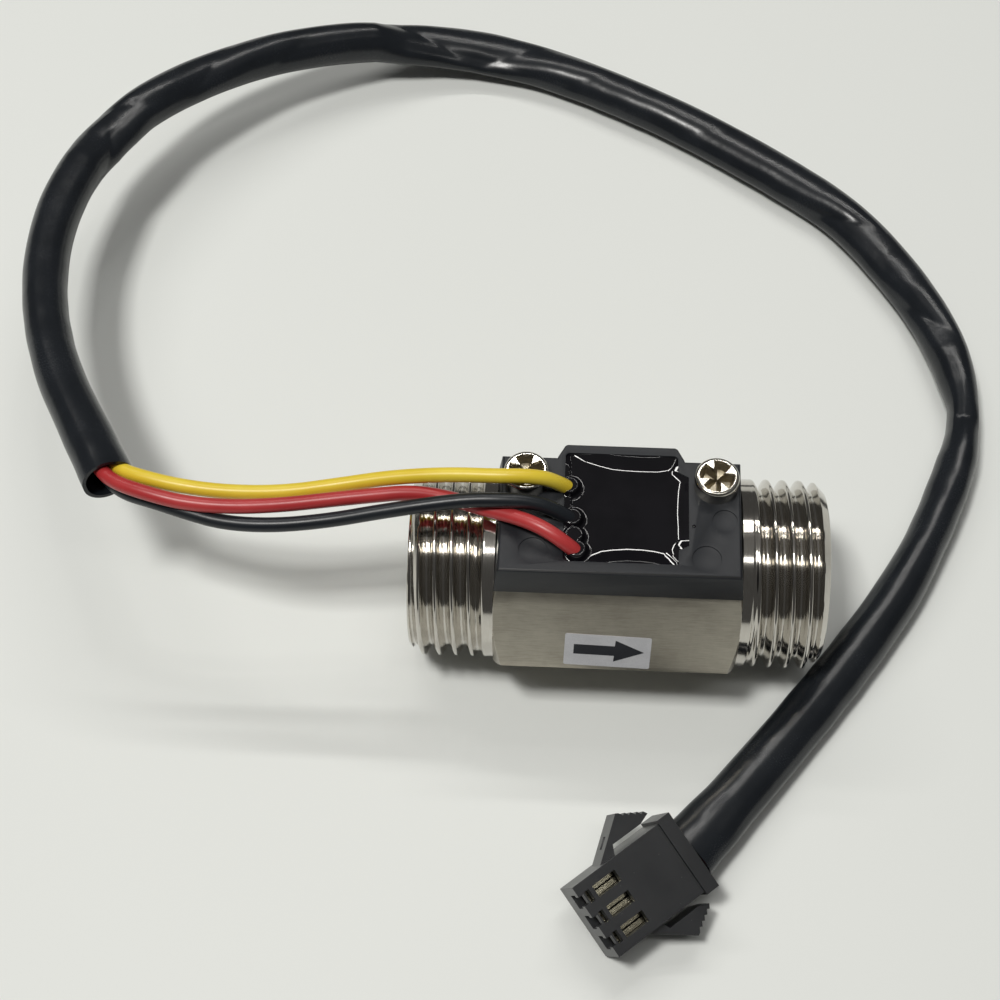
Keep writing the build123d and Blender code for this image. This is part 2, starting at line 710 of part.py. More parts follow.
def make_label():
    """Direction label stuck low on the front face of the hexagon."""
    corner = Vector(label_centre_x, -corner_radius, axis_z)
    centre = corner + hex_up * label_centre_up + hex_front_normal * (label_thickness / 2)
    tilt = radians(label_tilt)
    along = Vector(1, 0, 0) * cos(tilt) - hex_up * sin(tilt)
    plane = Plane(origin=centre, x_dir=along, z_dir=hex_front_normal)
    return plane.location * Box(label_length, label_height, label_thickness)


def make_potting(well, inside):
    """Potting that fills the well and the sensor's pocket round everything in them."""
    fill = well & block(-cap_length, cap_length, -cap_length, cap_length, flat_z, potting_top)
    fill += block(magnet_x - hall_length / 2 - hall_pocket_play,
                  magnet_x + hall_length / 2 + hall_pocket_play,
                  -hall_width / 2 - hall_pocket_play, hall_width / 2 + hall_pocket_play,
                  flat_z - hall_pocket_depth, flat_z + hall_pocket_depth)
    fill -= board_ledges()
    for shape in inside:
        fill -= shape
    return fill


body = make_body()
cap, well = make_cap(body)
sleeve = make_sleeve()
wires = {}
for colour, points in wire_routes.items():
    wires[colour] = tube(points, wire_diameter, colour + " wire") + bare_tip(colour)
board = make_board()
hall_sensor = make_hall_sensor()
solder = {colour: make_solder(colour, wire) for colour, wire in wires.items()}
resistor = make_chip(*resistor_place)
capacitor = make_chip(*capacitor_place)
inside = [board, hall_sensor, resistor, capacitor, *solder.values(), *wires.values()]

parts = {
    "body": body,
    "inlet_spider": make_spider(-1),
    "outlet_spider": make_spider(1),
    "inlet_bush": make_bush(-1),
    "outlet_bush": make_bush(1),
    "chamber_liner": make_liner(),
    "retaining_ring": make_retaining_ring(),
    "rotor": make_rotor(),
    "rotor_magnet": make_magnet(),
    "rotor_shaft": make_shaft(),
    "cap": cap,
    "cap_screw_left": make_screw(-1),
    "cap_screw_right": make_screw(1),
    "circuit_board": board,
    "hall_sensor": hall_sensor,
    "pull_up_resistor": resistor,
    "filter_capacitor": capacitor,
    "solder_joints": Compound(children=list(solder.values())),
    "potting": make_potting(well, inside),
    "direction_label": make_label(),
    "sleeve": sleeve,
    "plug_housing": make_plug_housing(),
}
for way, colour in plug_order.items():
    parts[f"terminal_{colour}"] = make_terminal(way)
    parts[f"{colour}_wire"] = Compound(children=[wires[colour], wire_tail(way, sleeve)])

os.makedirs("parts", exist_ok=True)
for name, shape in parts.items():
    export_step(shape, f"parts/{name}.step")
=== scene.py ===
import logging
import math
from contextlib import contextmanager
from dataclasses import dataclass
from enum import Enum
from typing import Callable, ClassVar, Iterator, Optional, Sequence, Union

import bmesh
import bpy
import numpy as np
from mathutils import Matrix, Vector


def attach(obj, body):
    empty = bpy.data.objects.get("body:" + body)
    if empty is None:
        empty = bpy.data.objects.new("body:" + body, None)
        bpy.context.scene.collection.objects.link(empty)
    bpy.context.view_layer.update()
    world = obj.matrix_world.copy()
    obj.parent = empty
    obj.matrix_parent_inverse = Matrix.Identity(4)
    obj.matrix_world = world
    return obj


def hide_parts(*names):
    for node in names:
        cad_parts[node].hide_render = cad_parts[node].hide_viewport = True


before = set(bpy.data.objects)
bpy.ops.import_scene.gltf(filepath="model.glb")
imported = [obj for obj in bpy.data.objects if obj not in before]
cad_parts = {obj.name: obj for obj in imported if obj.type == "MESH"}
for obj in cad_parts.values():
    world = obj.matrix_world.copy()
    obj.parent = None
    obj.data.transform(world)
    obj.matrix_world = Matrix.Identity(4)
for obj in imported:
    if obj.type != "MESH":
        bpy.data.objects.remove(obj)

MM = 0.001
HOUSING = "housing"
TABLE_Z = 0.0
ACROSS_FLATS = 21.5
AXIS_Z = ACROSS_FLATS / 2
HEX_END = 13.2
BODY_CUT = 14.2
WELD = 0.001
FLAT_WITHIN = 0.6
ROUNDED_SHARP = 50.0

log = logging.getLogger("flow_sensor")
Point = tuple[float, float, float]
Flat = tuple[float, float]
Tone = tuple[float, float, float]


class Side(Enum):
    """End of the body, by the sign of its X."""

    INLET = -1
    OUTLET = 1


class Grain(Enum):
    """How the fine marks of a metal face run."""

    ALONG = (0.12, 2.6, 2.6)
    AROUND = (6.0, 0.25, 0.25)
    EVEN = (1.0, 1.0, 1.0)


def joined(operation: str, swapped: bool = False) -> Callable[["Signal", "Number"], "Signal"]:
    """Make the operator that joins a signal and another value in a Math node.

    Args:
        operation: the node's operation.
        swapped: whether the other value comes first.

    Returns:
        The operator's method.
    """
    def method(signal: "Signal", other: "Number") -> "Signal":
        """Join the two values."""
        pair = (other, signal) if swapped else (signal, other)
        return signal.graph.maths(operation, *pair)
    return method


class Signal:
    """Output of a node that takes part in plain arithmetic."""

    __add__ = __radd__ = joined("ADD")
    __mul__ = __rmul__ = joined("MULTIPLY")
    __sub__ = joined("SUBTRACT")
    __rsub__ = joined("SUBTRACT", swapped=True)

    def __init__(self, graph: "Graph", socket: bpy.types.NodeSocket) -> None:
        """Wrap one output socket of a graph."""
        self.graph = graph
        self.socket = socket

    def __abs__(self) -> "Signal":
        """Size of the value without its sign."""
        return self.graph.maths("ABSOLUTE", self)

    def rise(self, low: float, high: float) -> "Signal":
        """Smooth step from 0 at low to 1 at high.

        Args:
            low: value where the step starts.
            high: value where it ends.

        Returns:
            The step.
        """
        return self.graph.value(
            "ShaderNodeMapRange", {"interpolation_type": "SMOOTHSTEP"},
            {"Value": self, "From Min": low, "From Max": high})


Number = Union[Signal, float]


class Graph:
    """Node tree of one material, with one way to add a node to it."""

    def __init__(self, name: str) -> None:
        """Start an empty material of that name.

        Args:
            name: the material's name.
        """
        self.material = bpy.data.materials.new(name)
        self.material.use_nodes = True
        self.tree = self.material.node_tree
        self.tree.nodes.clear()

    def add(self, kind: str, settings: Optional[dict] = None,
            sockets: Optional[dict] = None) -> bpy.types.Node:
        """Add a node.

        Args:
            kind: the node's type name.
            settings: attributes of the node, which are set first.
            sockets: values or signals by the input's name or number.

        Returns:
            The new node.
        """
        node = self.tree.nodes.new(kind)
        for key, value in (settings or {}).items():
            setattr(node, key, value)
        for key, value in (sockets or {}).items():
            if isinstance(value, Signal):
                self.tree.links.new(value.socket, node.inputs[key])
            else:
                node.inputs[key].default_value = value
        return node

    def value(self, kind: str, settings: Optional[dict] = None,
              sockets: Optional[dict] = None, output: Union[int, str] = 0) -> Signal:
        """Add a node and return one of its outputs as a signal."""
        return Signal(self, self.add(kind, settings, sockets).outputs[output])

    def maths(self, operation: str, *values: Number) -> Signal:
        """Add a Math node on signals or numbers."""
        return self.value("ShaderNodeMath", {"operation": operation}, dict(enumerate(values)))

    def place(self) -> Signal:
        """Position on the piece, in metres."""
        return self.value("ShaderNodeTexCoord", output="Object")

    def axes(self) -> tuple[Signal, Signal, Signal]:
        """The three coordinates on the piece, in millimetres."""
        split = self.add("ShaderNodeSeparateXYZ", sockets={"Vector": self.place()})
        return tuple(Signal(self, split.outputs[axis]) * 1000.0 for axis in "XYZ")

    def noise(self, size: float, detail: float = 2.0,
              stretch: Sequence[float] = (1.0, 1.0, 1.0), rough: float = 0.5) -> Signal:
        """Smooth noise from 0 to 1.

        Args:
            size: size of a mark, in millimetres.
            detail: number of finer layers.
            stretch: frequency along each axis, against an even noise.
            rough: weight of the finer layers.

        Returns:
            The noise value.
        """
        return self.value("ShaderNodeTexNoise", {"noise_dimensions": "3D"},
                          {"Vector": self.cells(size, stretch), "Scale": 1.0, "Detail": detail,
                           "Roughness": rough})

    def spots(self, size: float) -> Signal:
        """Distance to scattered points, with cells of that size in millimetres."""
        return self.value("ShaderNodeTexVoronoi", {"feature": "F1"},
                          {"Vector": self.cells(size, (1.0, 1.0, 1.0)), "Scale": 1.0})

    def cells(self, size: float, stretch: Sequence[float]) -> Signal:
        """Position on the piece, counted in cells of that size in millimetres.

        Args:
            size: size of a cell.
            stretch: frequency along each axis, against even cells.

        Returns:
            The position as a vector.
        """
        scale = tuple(1.0 / (MM * size) * share for share in stretch)
        return self.value("ShaderNodeMapping", {"vector_type": "POINT"},
                          {"Vector": self.place(), "Scale": scale})

    def mix(self, mask: Number, first: Union[Signal, Tone], second: Union[Signal, Tone]) -> Signal:
        """Colour that goes from the first to the second with the mask.

        Args:
            mask: share of the second colour.
            first: colour where the mask is 0.
            second: colour where the mask is 1.

        Returns:
            The mixed colour.
        """
        pair = [tone if isinstance(tone, Signal) else (*tone, 1.0) for tone in (first, second)]
        return self.value("ShaderNodeMix", {"data_type": "RGBA"},
                          {0: mask, 6: pair[0], 7: pair[1]}, output=2)

    def bump(self, height: Signal, depth: float, below: Optional[Signal] = None) -> Signal:
        """Normal from a height signal.

        Args:
            height: the height, from 0 to 1.
            depth: millimetres that 1 stands for.
            below: another bump's normal to add to.

        Returns:
            The bent normal.
        """
        sockets = {"Height": height, "Distance": depth * MM, "Strength": 1.0}
        if below is not None:
            sockets["Normal"] = below
        return self.value("ShaderNodeBump", None, sockets)

    def finish(self, sockets: dict) -> bpy.types.Material:
        """Close the material with a Principled shader on those sockets.

        Args:
            sockets: values or signals by the shader's input.

        Returns:
            The finished material.
        """
        shader = self.value("ShaderNodeBsdfPrincipled", None, sockets)
        self.add("ShaderNodeOutputMaterial", None, {"Surface": shader})
        return self.material


@dataclass(frozen=True)
class Finish:
    """A surface finish that paints one material, made once."""

    name: str

    def material(self) -> bpy.types.Material:
        """The finish's material, painted on first use."""
        known = bpy.data.materials.get(self.name)
        return known or self.paint(Graph(self.name))

    def paint(self, graph: Graph) -> bpy.types.Material:
        """Paint the material. Each kind of finish has its own."""
        raise NotImplementedError


@dataclass(frozen=True)
class Metal(Finish):
    """Machined, polished or plated metal with fine marks along its grain."""

    tone: Tone
    dull: Tone
    roughness: float
    grain: Grain
    mark: float = 0.08
    depth: float = 0.002
    cloud: float = 0.35
    streak_size: float = 0.22
    fine_size: float = 0.07
    cloud_size: float = 3.2

    def paint(self, graph: Graph) -> bpy.types.Material:
        """Clouded tone, with streaks in its roughness and height.

        Args:
            graph: the empty material's graph.

        Returns:
            The painted material.
        """
        streak = graph.noise(self.streak_size, 3.0, self.grain.value, 0.6)
        fine = graph.noise(self.fine_size, 2.0, self.grain.value, 0.5)
        cloud = graph.noise(self.cloud_size, 4.0, rough=0.6)
        worn = (cloud * self.cloud + streak * (1.0 - self.cloud)).rise(0.3, 0.7)
        return graph.finish({
            "Base Color": graph.mix(worn, self.dull, self.tone),
            "Metallic": 1.0,
            "Roughness": self.roughness + (fine - 0.5) * self.mark + (cloud - 0.5) * self.mark,
            "Normal": graph.bump(streak + fine * 0.5, self.depth),
        })


@dataclass(frozen=True)
class Moulding(Finish):
    """Moulded plastic with a spark-eroded grain and a little dust."""

    tone: Tone
    pale: Tone
    roughness: float
    grain: float = 0.14
    depth: float = 0.006
    gloss: float = 0.5
    cloud: float = 4.0
    uneven: Flat = (0.12, 0.06)
    dust: float = 1.1
    dust_edge: Flat = (0.03, 0.07)
    dust_share: float = 0.12
    dust_tone: Tone = (0.35, 0.35, 0.34)

    def paint(self, graph: Graph) -> bpy.types.Material:
        """Slight clouding of tone and gloss over a fine grain.

        Args:
            graph: the empty material's graph.

        Returns:
            The painted material.
        """
        grain = graph.noise(self.grain, 3.0, rough=0.6)
        cloud = graph.noise(self.cloud, 3.0)
        speck = 1.0 - graph.spots(self.dust).rise(*self.dust_edge)
        tone = graph.mix(cloud.rise(0.3, 0.7), self.tone, self.pale)
        dusty = graph.mix(speck * self.dust_share, tone, self.dust_tone)
        marked_and_shaded, height = self.mark(graph, dusty, grain)
        return graph.finish({
            "Base Color": marked_and_shaded,
            "Roughness": self.roughness + (cloud - 0.5) * self.uneven[0] + (grain - 0.5) * self.uneven[1],
            "Specular IOR Level": self.gloss,
            "Normal": graph.bump(height, self.depth),
        })

    def mark(self, graph: Graph, tone: Signal, height: Signal) -> tuple[Signal, Signal]:
        """Colour and height with this moulding's extra marks (for the cap, a painted shade line at its
        crease), which a plain moulding lacks.
        """
        return tone, height


@dataclass(frozen=True)
class CapMoulding(Moulding):
    """The cap's plastic, with a painted shade line along its front crease."""

    cloud: float = 4.5
    uneven: Flat = (0.1, 0.05)
    dust: float = 1.3
    dust_edge: Flat = (0.02, 0.06)
    dust_share: float = 0.1
    dust_tone: Tone = (0.3, 0.3, 0.3)
    crease_y: float = -6.82
    crease_z: float = 22.3
    crease_edge: Flat = (0.05, 0.13)
    crease_depth: float = 3.0

    def mark(self, graph: Graph, tone: Signal, height: Signal) -> tuple[Signal, Signal]:
        """Painted shade: a near-black line along the crease, also sunk a little in height.

        Args:
            graph: the material's graph.
            tone: the plastic's colour.
            height: the grain's height.

        Returns:
            The colour with the painted shade line, and the height with the sunk line.
        """
        _, y, z = graph.axes()
        near = 1.0 - abs(y - self.crease_y).rise(*self.crease_edge)
        line = near * z.rise(self.crease_z, self.crease_z + 0.1)
        # painted shade: the colour goes towards near black along the crease line
        return graph.mix(line * 0.75, tone, (0.002, 0.002, 0.002)), height - line * self.crease_depth


@dataclass(frozen=True)
class Resin(Finish):
    """Cast potting resin, glossy and nearly black."""

    tone: Tone
    deep: Tone
    roughness: float
    cloud: float = 5.0
    ripple: float = 1.6
    ripple_depth: float = 0.0015
    dust: float = 2.2
    dust_edge: Flat = (0.012, 0.03)
    dust_tone: Tone = (0.2, 0.2, 0.2)

    def paint(self, graph: Graph) -> bpy.types.Material:
        """Faint clouds and a little dust in a glassy surface.

        Args:
            graph: the empty material's graph.

        Returns:
            The painted material.
        """
        cloud = graph.noise(self.cloud, 3.0)
        ripple = graph.noise(self.ripple, 2.0)
        speck = 1.0 - graph.spots(self.dust).rise(*self.dust_edge)
        tone = graph.mix(cloud.rise(0.35, 0.65), self.tone, self.deep)
        return graph.finish({
            "Base Color": graph.mix(speck * 0.3, tone, self.dust_tone),
            "Roughness": self.roughness + cloud * 0.02,
            "Normal": graph.bump(ripple, self.ripple_depth),
        })


@dataclass(frozen=True)
class Vinyl(Finish):
    """Soft vinyl of the wires and the sleeve."""

    tone: Tone
    pale: Tone
    roughness: float
    wrinkle: float = 0.02
    size: float = 1.4
    gloss: float = 0.5
    pore: float = 0.12
    pore_depth: float = 0.003
    cloud: float = 6.0

    def paint(self, graph: Graph) -> bpy.types.Material:
        """Soft waves, fine pores and a slight change of tone.

        Args:
            graph: the empty material's graph.

        Returns:
            The painted material.
        """
        wave = graph.noise(self.size, 3.0)
        pore = graph.noise(self.pore, 2.0)
        cloud = graph.noise(self.cloud, 3.0)
        waved = graph.bump(wave, self.wrinkle)
        return graph.finish({
            "Base Color": graph.mix(cloud.rise(0.3, 0.7), self.tone, self.pale),
            "Roughness": self.roughness + (pore - 0.5) * 0.12 + (cloud - 0.5) * 0.1,
            "Specular IOR Level": self.gloss,
            "Normal": graph.bump(pore, self.pore_depth, waved),
        })


@dataclass(frozen=True)
class Film(Finish):
    """Silvery film of the direction label, or the ink on it."""

    tone: Tone
    pale: Tone
    roughness: float
    metallic: float = 0.0
    speckle: float = 0.16
    speckle_depth: float = 0.004
    cloud: float = 2.6

    def paint(self, graph: Graph) -> bpy.types.Material:
        """Fine speckle of the film.

        Args:
            graph: the empty material's graph.

        Returns:
            The painted material.
        """
        speck = graph.noise(self.speckle, 3.0, rough=0.7)
        cloud = graph.noise(self.cloud, 3.0)
        return graph.finish({
            "Base Color": graph.mix((speck * 0.5 + cloud * 0.5).rise(0.3, 0.7), self.tone, self.pale),
            "Metallic": self.metallic,
            "Roughness": self.roughness + (speck - 0.5) * 0.15,
            "Normal": graph.bump(speck, self.speckle_depth),
        })


@dataclass(frozen=True)
class Tabletop(Finish):
    """Plain pale table."""

    tone: Tone
    shade: Tone
    cloud: float = 120.0

    def paint(self, graph: Graph) -> bpy.types.Material:
        """Pale surface with very wide, faint clouds.

        Args:
            graph: the empty material's graph.

        Returns:
            The painted material.
        """
        cloud = graph.noise(self.cloud, 2.0)
        return graph.finish({
            "Base Color": graph.mix(cloud.rise(0.2, 0.8), self.shade, self.tone),
            "Roughness": 0.55,
            "Specular IOR Level": 0.3,
        })


SATIN_STEEL = Metal("satin_steel", (0.5, 0.47, 0.4), (0.35, 0.32, 0.27), 0.34, Grain.ALONG,
                    0.16, 0.003, 0.5)
TURNED_STEEL = Metal("turned_steel", (0.64, 0.62, 0.58), (0.54, 0.51, 0.46), 0.11, Grain.AROUND,
                     0.08, 0.0012, 0.2)
BORE_STEEL = Metal("bore_steel", (0.5, 0.49, 0.46), (0.4, 0.39, 0.36), 0.25, Grain.AROUND, 0.1, 0.002)
NICKEL = Metal("nickel_plate", (0.7, 0.68, 0.63), (0.6, 0.57, 0.5), 0.16, Grain.EVEN, 0.08, 0.002)
# painted shade with a brownish tone: darker, browner metal for the deep faces of the screw recesses
NICKEL_RECESS_SHADED = Metal("nickel_recess_shaded", (0.42, 0.38, 0.3), (0.26, 0.23, 0.17), 0.38, Grain.EVEN, 0.12, 0.006)
CAP_PLASTIC = CapMoulding("cap_plastic", (0.012, 0.0135, 0.017), (0.017, 0.019, 0.023), 0.44, gloss=0.34)
PLUG_PLASTIC = Moulding("plug_plastic", (0.015, 0.016, 0.018), (0.021, 0.022, 0.024), 0.34, 0.1, 0.004)
POTTING = Resin("potting", (0.0055, 0.005, 0.007), (0.003, 0.0028, 0.0042), 0.015)
SLEEVE_VINYL = Vinyl("sleeve_skin", (0.0095, 0.0115, 0.0145), (0.0135, 0.016, 0.02), 0.25, 0.04, 2.4, 0.4)
YELLOW_VINYL = Vinyl("yellow_insulation", (0.76, 0.56, 0.035), (0.82, 0.64, 0.06), 0.36, 0.012)
BLACK_VINYL = Vinyl("black_insulation", (0.01, 0.012, 0.016), (0.014, 0.017, 0.021), 0.34, 0.012, gloss=0.4)
RED_VINYL = Vinyl("red_insulation", (0.41, 0.03, 0.033), (0.48, 0.046, 0.047), 0.34, 0.012)
LABEL_FILM = Film("label_film", (0.52, 0.525, 0.55), (0.62, 0.625, 0.65), 0.42, 0.15)
LABEL_INK = Film("label_ink", (0.008, 0.009, 0.014), (0.014, 0.016, 0.022), 0.4)
CONTACT_TIN = Metal("contact_tin", (0.5, 0.47, 0.36), (0.26, 0.24, 0.17), 0.2, Grain.EVEN, 0.1, 0.003)
ACETAL = Moulding("white_acetal", (0.72, 0.72, 0.69), (0.78, 0.78, 0.75), 0.4)
ROTOR_ACETAL = Moulding("rotor_acetal", (0.03, 0.03, 0.034), (0.04, 0.04, 0.045), 0.4)
FERRITE = Moulding("ferrite", (0.05, 0.05, 0.055), (0.07, 0.07, 0.075), 0.55, 0.3, 0.01)
SHAFT_STEEL = Metal("ground_shaft", (0.66, 0.66, 0.66), (0.56, 0.56, 0.56), 0.15, Grain.AROUND)
SINTERED = Moulding("sintered_bush", (0.06, 0.06, 0.065), (0.09, 0.09, 0.095), 0.5, 0.2, 0.008)
SPRING_STEEL = Metal("spring_steel_ring", (0.44, 0.43, 0.42), (0.3, 0.29, 0.28), 0.3, Grain.EVEN)
BOARD = Moulding("solder_resist", (0.02, 0.15, 0.05), (0.03, 0.19, 0.07), 0.3)
CHIP = Moulding("chip_package", (0.02, 0.02, 0.02), (0.03, 0.03, 0.03), 0.5)
SOLDER = Metal("solder_fillet", (0.7, 0.7, 0.7), (0.5, 0.5, 0.5), 0.3, Grain.EVEN)
TABLE = Tabletop("pale_table", (0.79, 0.81, 0.79), (0.77, 0.79, 0.77))


@contextmanager
def edited(mesh: bpy.types.Mesh) -> Iterator[bmesh.types.BMesh]:
    """Open a mesh of this script for editing, and write it back after.

    Args:
        mesh: the mesh.

    Yields:
        The open mesh.
    """
    work = bmesh.new()
    work.from_mesh(mesh)
    yield work
    work.to_mesh(mesh)
    work.free()


def smooth_by_angle(mesh: bpy.types.Mesh, degrees: float) -> None:
    """Shade a mesh smooth, with edges over that angle kept sharp.

    Args:
        mesh: the mesh.
        degrees: the angle.
    """
    mesh.polygons.foreach_set("use_smooth", [True] * len(mesh.polygons))
    limit = math.radians(degrees)
    with edited(mesh) as work:
        for edge in work.edges:
            edge.smooth = not edge.is_manifold or edge.calc_face_angle(0.0) < limit


def add_object(name: str, data: bpy.types.ID) -> bpy.types.Object:
    """Put data into the scene as a new object.

    Args:
        name: the object's name.
        data: its mesh, curve, camera or lamp.

    Returns:
        The new object.
    """
    thing = bpy.data.objects.new(name, data)
    bpy.context.scene.collection.objects.link(thing)
    return thing


def add_piece(name: str, data: Union[bpy.types.Mesh, bpy.types.Curve],
              finish: Finish) -> bpy.types.Object:
    """Put a mesh or curve into the scene as a piece that rides on the housing.

    Args:
        name: the piece's name.
        data: its mesh or curve.
        finish: its finish.

    Returns:
        The new object.
    """
    data.materials.append(finish.material())
    piece = add_object(name, data)
    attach(piece, HOUSING)
    return piece


def new_piece(name: str, points: Sequence[Sequence[float]], faces: Sequence[Sequence[int]],
              finish: Finish, sharp: float) -> bpy.types.Object:
    """Make a mesh piece.

    Args:
        name: the piece's name.
        points: its corners, in millimetres.
        faces: its faces, by corner number.
        finish: the finish of all its faces.
        sharp: angle over which an edge is drawn sharp, in degrees.

    Returns:
        The new object.
    """
    mesh = bpy.data.meshes.new(name)
    mesh.from_pydata([tuple(value * MM for value in point) for point in points], [], faces)
    mesh.update()
    smooth_by_angle(mesh, sharp)
    return add_piece(name, mesh, finish)


def rings_to_mesh(rings: Sequence[Sequence[Point]]) -> tuple[list, list]:
    """Skin a row of rings with quads.

    Args:
        rings: rings of equally many points.

    Returns:
        Points and faces.
    """
    count = len(rings[0])
    points = [point for ring in rings for point in ring]
    faces = []
    for first in range(0, len(points) - count, count):
        for column in range(count):
            beside = (column + 1) % count
            faces.append((first + column, first + beside, first + count + beside, first + count + column))
    return points, faces


def dress(piece: bpy.types.Object, finish: Finish) -> None:
    """Give all slots of a piece one finish."""
    piece.data.materials.clear()
    piece.data.materials.append(finish.material())


def copy_node(node: str, name: str, finish: Finish) -> bpy.types.Object:
    """Copy a CAD node's mesh into a new piece, with its flat faces joined up.

    Args:
        node: the CAD node.
        name: the new piece's name.
        finish: the piece's finish.
    """
    work = bmesh.new()
    work.from_mesh(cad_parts[node].data)
    bmesh.ops.remove_doubles(work, verts=work.verts, dist=WELD * MM)
    bmesh.ops.dissolve_limit(work, angle_limit=math.radians(FLAT_WITHIN), verts=work.verts,
                             edges=work.edges)
    mesh = bpy.data.meshes.new(name)
    work.to_mesh(mesh)
    work.free()
    return add_piece(name, mesh, finish)


def soften(piece: bpy.types.Object, width: float, degrees: float) -> None:
    """Round a piece's edges a little.

    Args:
        piece: the piece.
        width: width of the rounding, in millimetres.
        degrees: least angle of an edge that is rounded.
    """
    bevel = piece.modifiers.new("rounding", "BEVEL")
    bevel.width = width * MM
    bevel.segments = 2
    bevel.limit_method = "ANGLE"
    bevel.angle_limit = math.radians(degrees)
    graph = bpy.context.evaluated_depsgraph_get()
    rounded = bpy.data.meshes.new_from_object(piece.evaluated_get(graph))
    piece.modifiers.clear()
    piece.data = rounded
    smooth_by_angle(rounded, ROUNDED_SHARP)


@dataclass
class ThreadedEnd:
    """Male end with its right-hand pipe thread, end chamfer and bored inside."""

    side: Side
    bore_radius: float
    phase: float
    neck_end: float = 14.3
    end: float = 22.6
    major_radius: float = 10.4775
    root_radius: float = 9.315
    neck_radius: float = 10.42
    pitch: float = 1.814
    flank_start: float = 0.17
    flank_share: float = 0.66
    rounding: float = 0.12
    chamfer: float = 1.2
    run_out: float = 1.0
    lead: float = 0.6
    mouth_step: float = 0.06
    around: int = 240
    step: float = 0.07

    def height(self, x: float, turn: float) -> float:
        """Radius of the thread at a station and an angle about the bore axis.

        Args:
            x: the station, in millimetres.
            turn: the angle, in radians.

        Returns:
            The radius.
        """
        place = (x / self.pitch - turn / math.tau - self.phase) % 1.0
        share = (abs(2.0 * place - 1.0) - self.flank_start) / self.flank_share
        flank = (math.hypot(share, self.rounding) - math.hypot(share - 1.0, self.rounding) + 1.0) / 2
        out = abs(x)
        cut = min(1.0, max(0.0, (out - self.neck_end) / self.run_out))
        root = self.neck_radius + (self.root_radius - self.neck_radius) * cut
        crest = self.neck_radius + (self.major_radius - self.neck_radius) * cut
        return min(root + (crest - root) * flank, self.major_radius - max(0.0, out - self.end + self.chamfer))

    def ring(self, x: float, radius: Callable[[float], float]) -> list[Point]:
        """Ring of points about the bore axis, with a radius that may change with the angle.

        Args:
            x: the ring's station.
            radius: gives the radius at an angle.

        Returns:
            The points.
        """
        turns = [2 * math.pi * k / self.around for k in range(self.around)]
        return [(x, radius(turn) * math.cos(turn), AXIS_Z + radius(turn) * math.sin(turn))
                for turn in turns]

    def build(self) -> bpy.types.Object:
        """Make the end from its neck to its bored mouth.

        Returns:
            The piece.
        """
        sign = self.side.value
        stations = np.linspace(HEX_END, self.end - 0.02, round((self.end - HEX_END) / self.step) + 1)
        rings = [self.ring(sign * x, lambda turn, at=sign * x: self.height(at, turn)) for x in stations]
        rim = self.major_radius - self.chamfer
        inner = [(self.end, rim - self.mouth_step), (self.end, self.bore_radius + self.lead),
                 (self.end - self.lead, self.bore_radius), (BODY_CUT, self.bore_radius)]
        rings += [self.ring(sign * x, lambda turn, r=radius: r) for x, radius in inner]
        points, faces = rings_to_mesh(rings)
        if self.side is Side.OUTLET:
            faces = [face[::-1] for face in faces]
        piece = new_piece(f"thread_{self.side.name.lower()}", points, faces, TURNED_STEEL, 38.0)
        return piece


@dataclass
class HexBody:
    """Middle of the body: the hexagon, necks, flat and inner bore, cut from the CAD mesh."""

    rounding: float = 0.1
    bore_limit: float = 7.2

    def build(self) -> bpy.types.Object:
        """Cut the threaded ends off a copy of the body and round its edges.

        Returns:
            The piece.
        """
        piece = copy_node("body", "hexagon_body", SATIN_STEEL)
        with edited(piece.data) as work:
            for sign in (-1, 1):
                geometry = work.verts[:] + work.edges[:] + work.faces[:]
                bmesh.ops.bisect_plane(work, geom=geometry, plane_co=(sign * BODY_CUT * MM, 0, 0),
                                       plane_no=(sign, 0, 0), clear_outer=True)
        soften(piece, self.rounding, 40.0)
        self.dress(piece)
        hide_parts("body")
        return piece

    def dress(self, piece: bpy.types.Object) -> None:
        """Polished necks, bored inside and satin flats.

        Args:
            piece: the hexagon with its satin finish.
        """
        for finish in (TURNED_STEEL, BORE_STEEL):
            piece.data.materials.append(finish.material())
        for face in piece.data.polygons:
            centre = face.center / MM
            reach = math.hypot(centre.y, centre.z - AXIS_Z)
            if reach < self.bore_limit:
                face.material_index = 2
            elif abs(centre.x) > HEX_END:
                face.material_index = 1


@dataclass
class CapTop:
    """Moulded cap over the flat, from the CAD solid with softened edges and a moulding speck."""

    rounding: float = 0.12
    half_length: float = 12.8
    draft: float = 0.42
    low: float = 19.05
    high: float = 22.75
    speck: Flat = (7.77, -0.95)
    speck_radius: float = 0.2
    speck_base: float = 22.745
    speck_rows: int = 7
    speck_around: int = 20

    def build(self) -> list[bpy.types.Object]:
        """Soften a copy of the cap and add the speck.

        Returns:
            The cap and the speck.
        """
        cap = copy_node("cap", "moulded_cap", CAP_PLASTIC)
        for vertex in cap.data.vertices:
            if abs(vertex.co.x) > (self.half_length - 0.01) * MM:
                share = (self.high - vertex.co.z / MM) / (self.high - self.low)
                vertex.co.x += math.copysign(self.draft * MM * min(1.0, max(0.0, share)), vertex.co.x)
        soften(cap, self.rounding, 35.0)
        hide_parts("cap")
        return [cap, self.build_speck()]

    def build_speck(self) -> bpy.types.Object:
        """Small glossy nub on the top of the cap.

        Returns:
            The piece.
        """
        rings = []
        turns = [math.tau * k / self.speck_around for k in range(self.speck_around)]
        for share in np.linspace(0.0, 0.98, self.speck_rows):
            radius = self.speck_radius * math.cos(share * math.pi / 2)
            height = self.speck_base + self.speck_radius * 0.5 * math.sin(share * math.pi / 2)
            rings.append([(self.speck[0] + radius * math.cos(turn),
                           self.speck[1] + radius * math.sin(turn), height) for turn in turns])
        points, faces = rings_to_mesh(rings)
        piece = new_piece("moulding_speck", points, faces, POTTING, 60.0)
        return piece


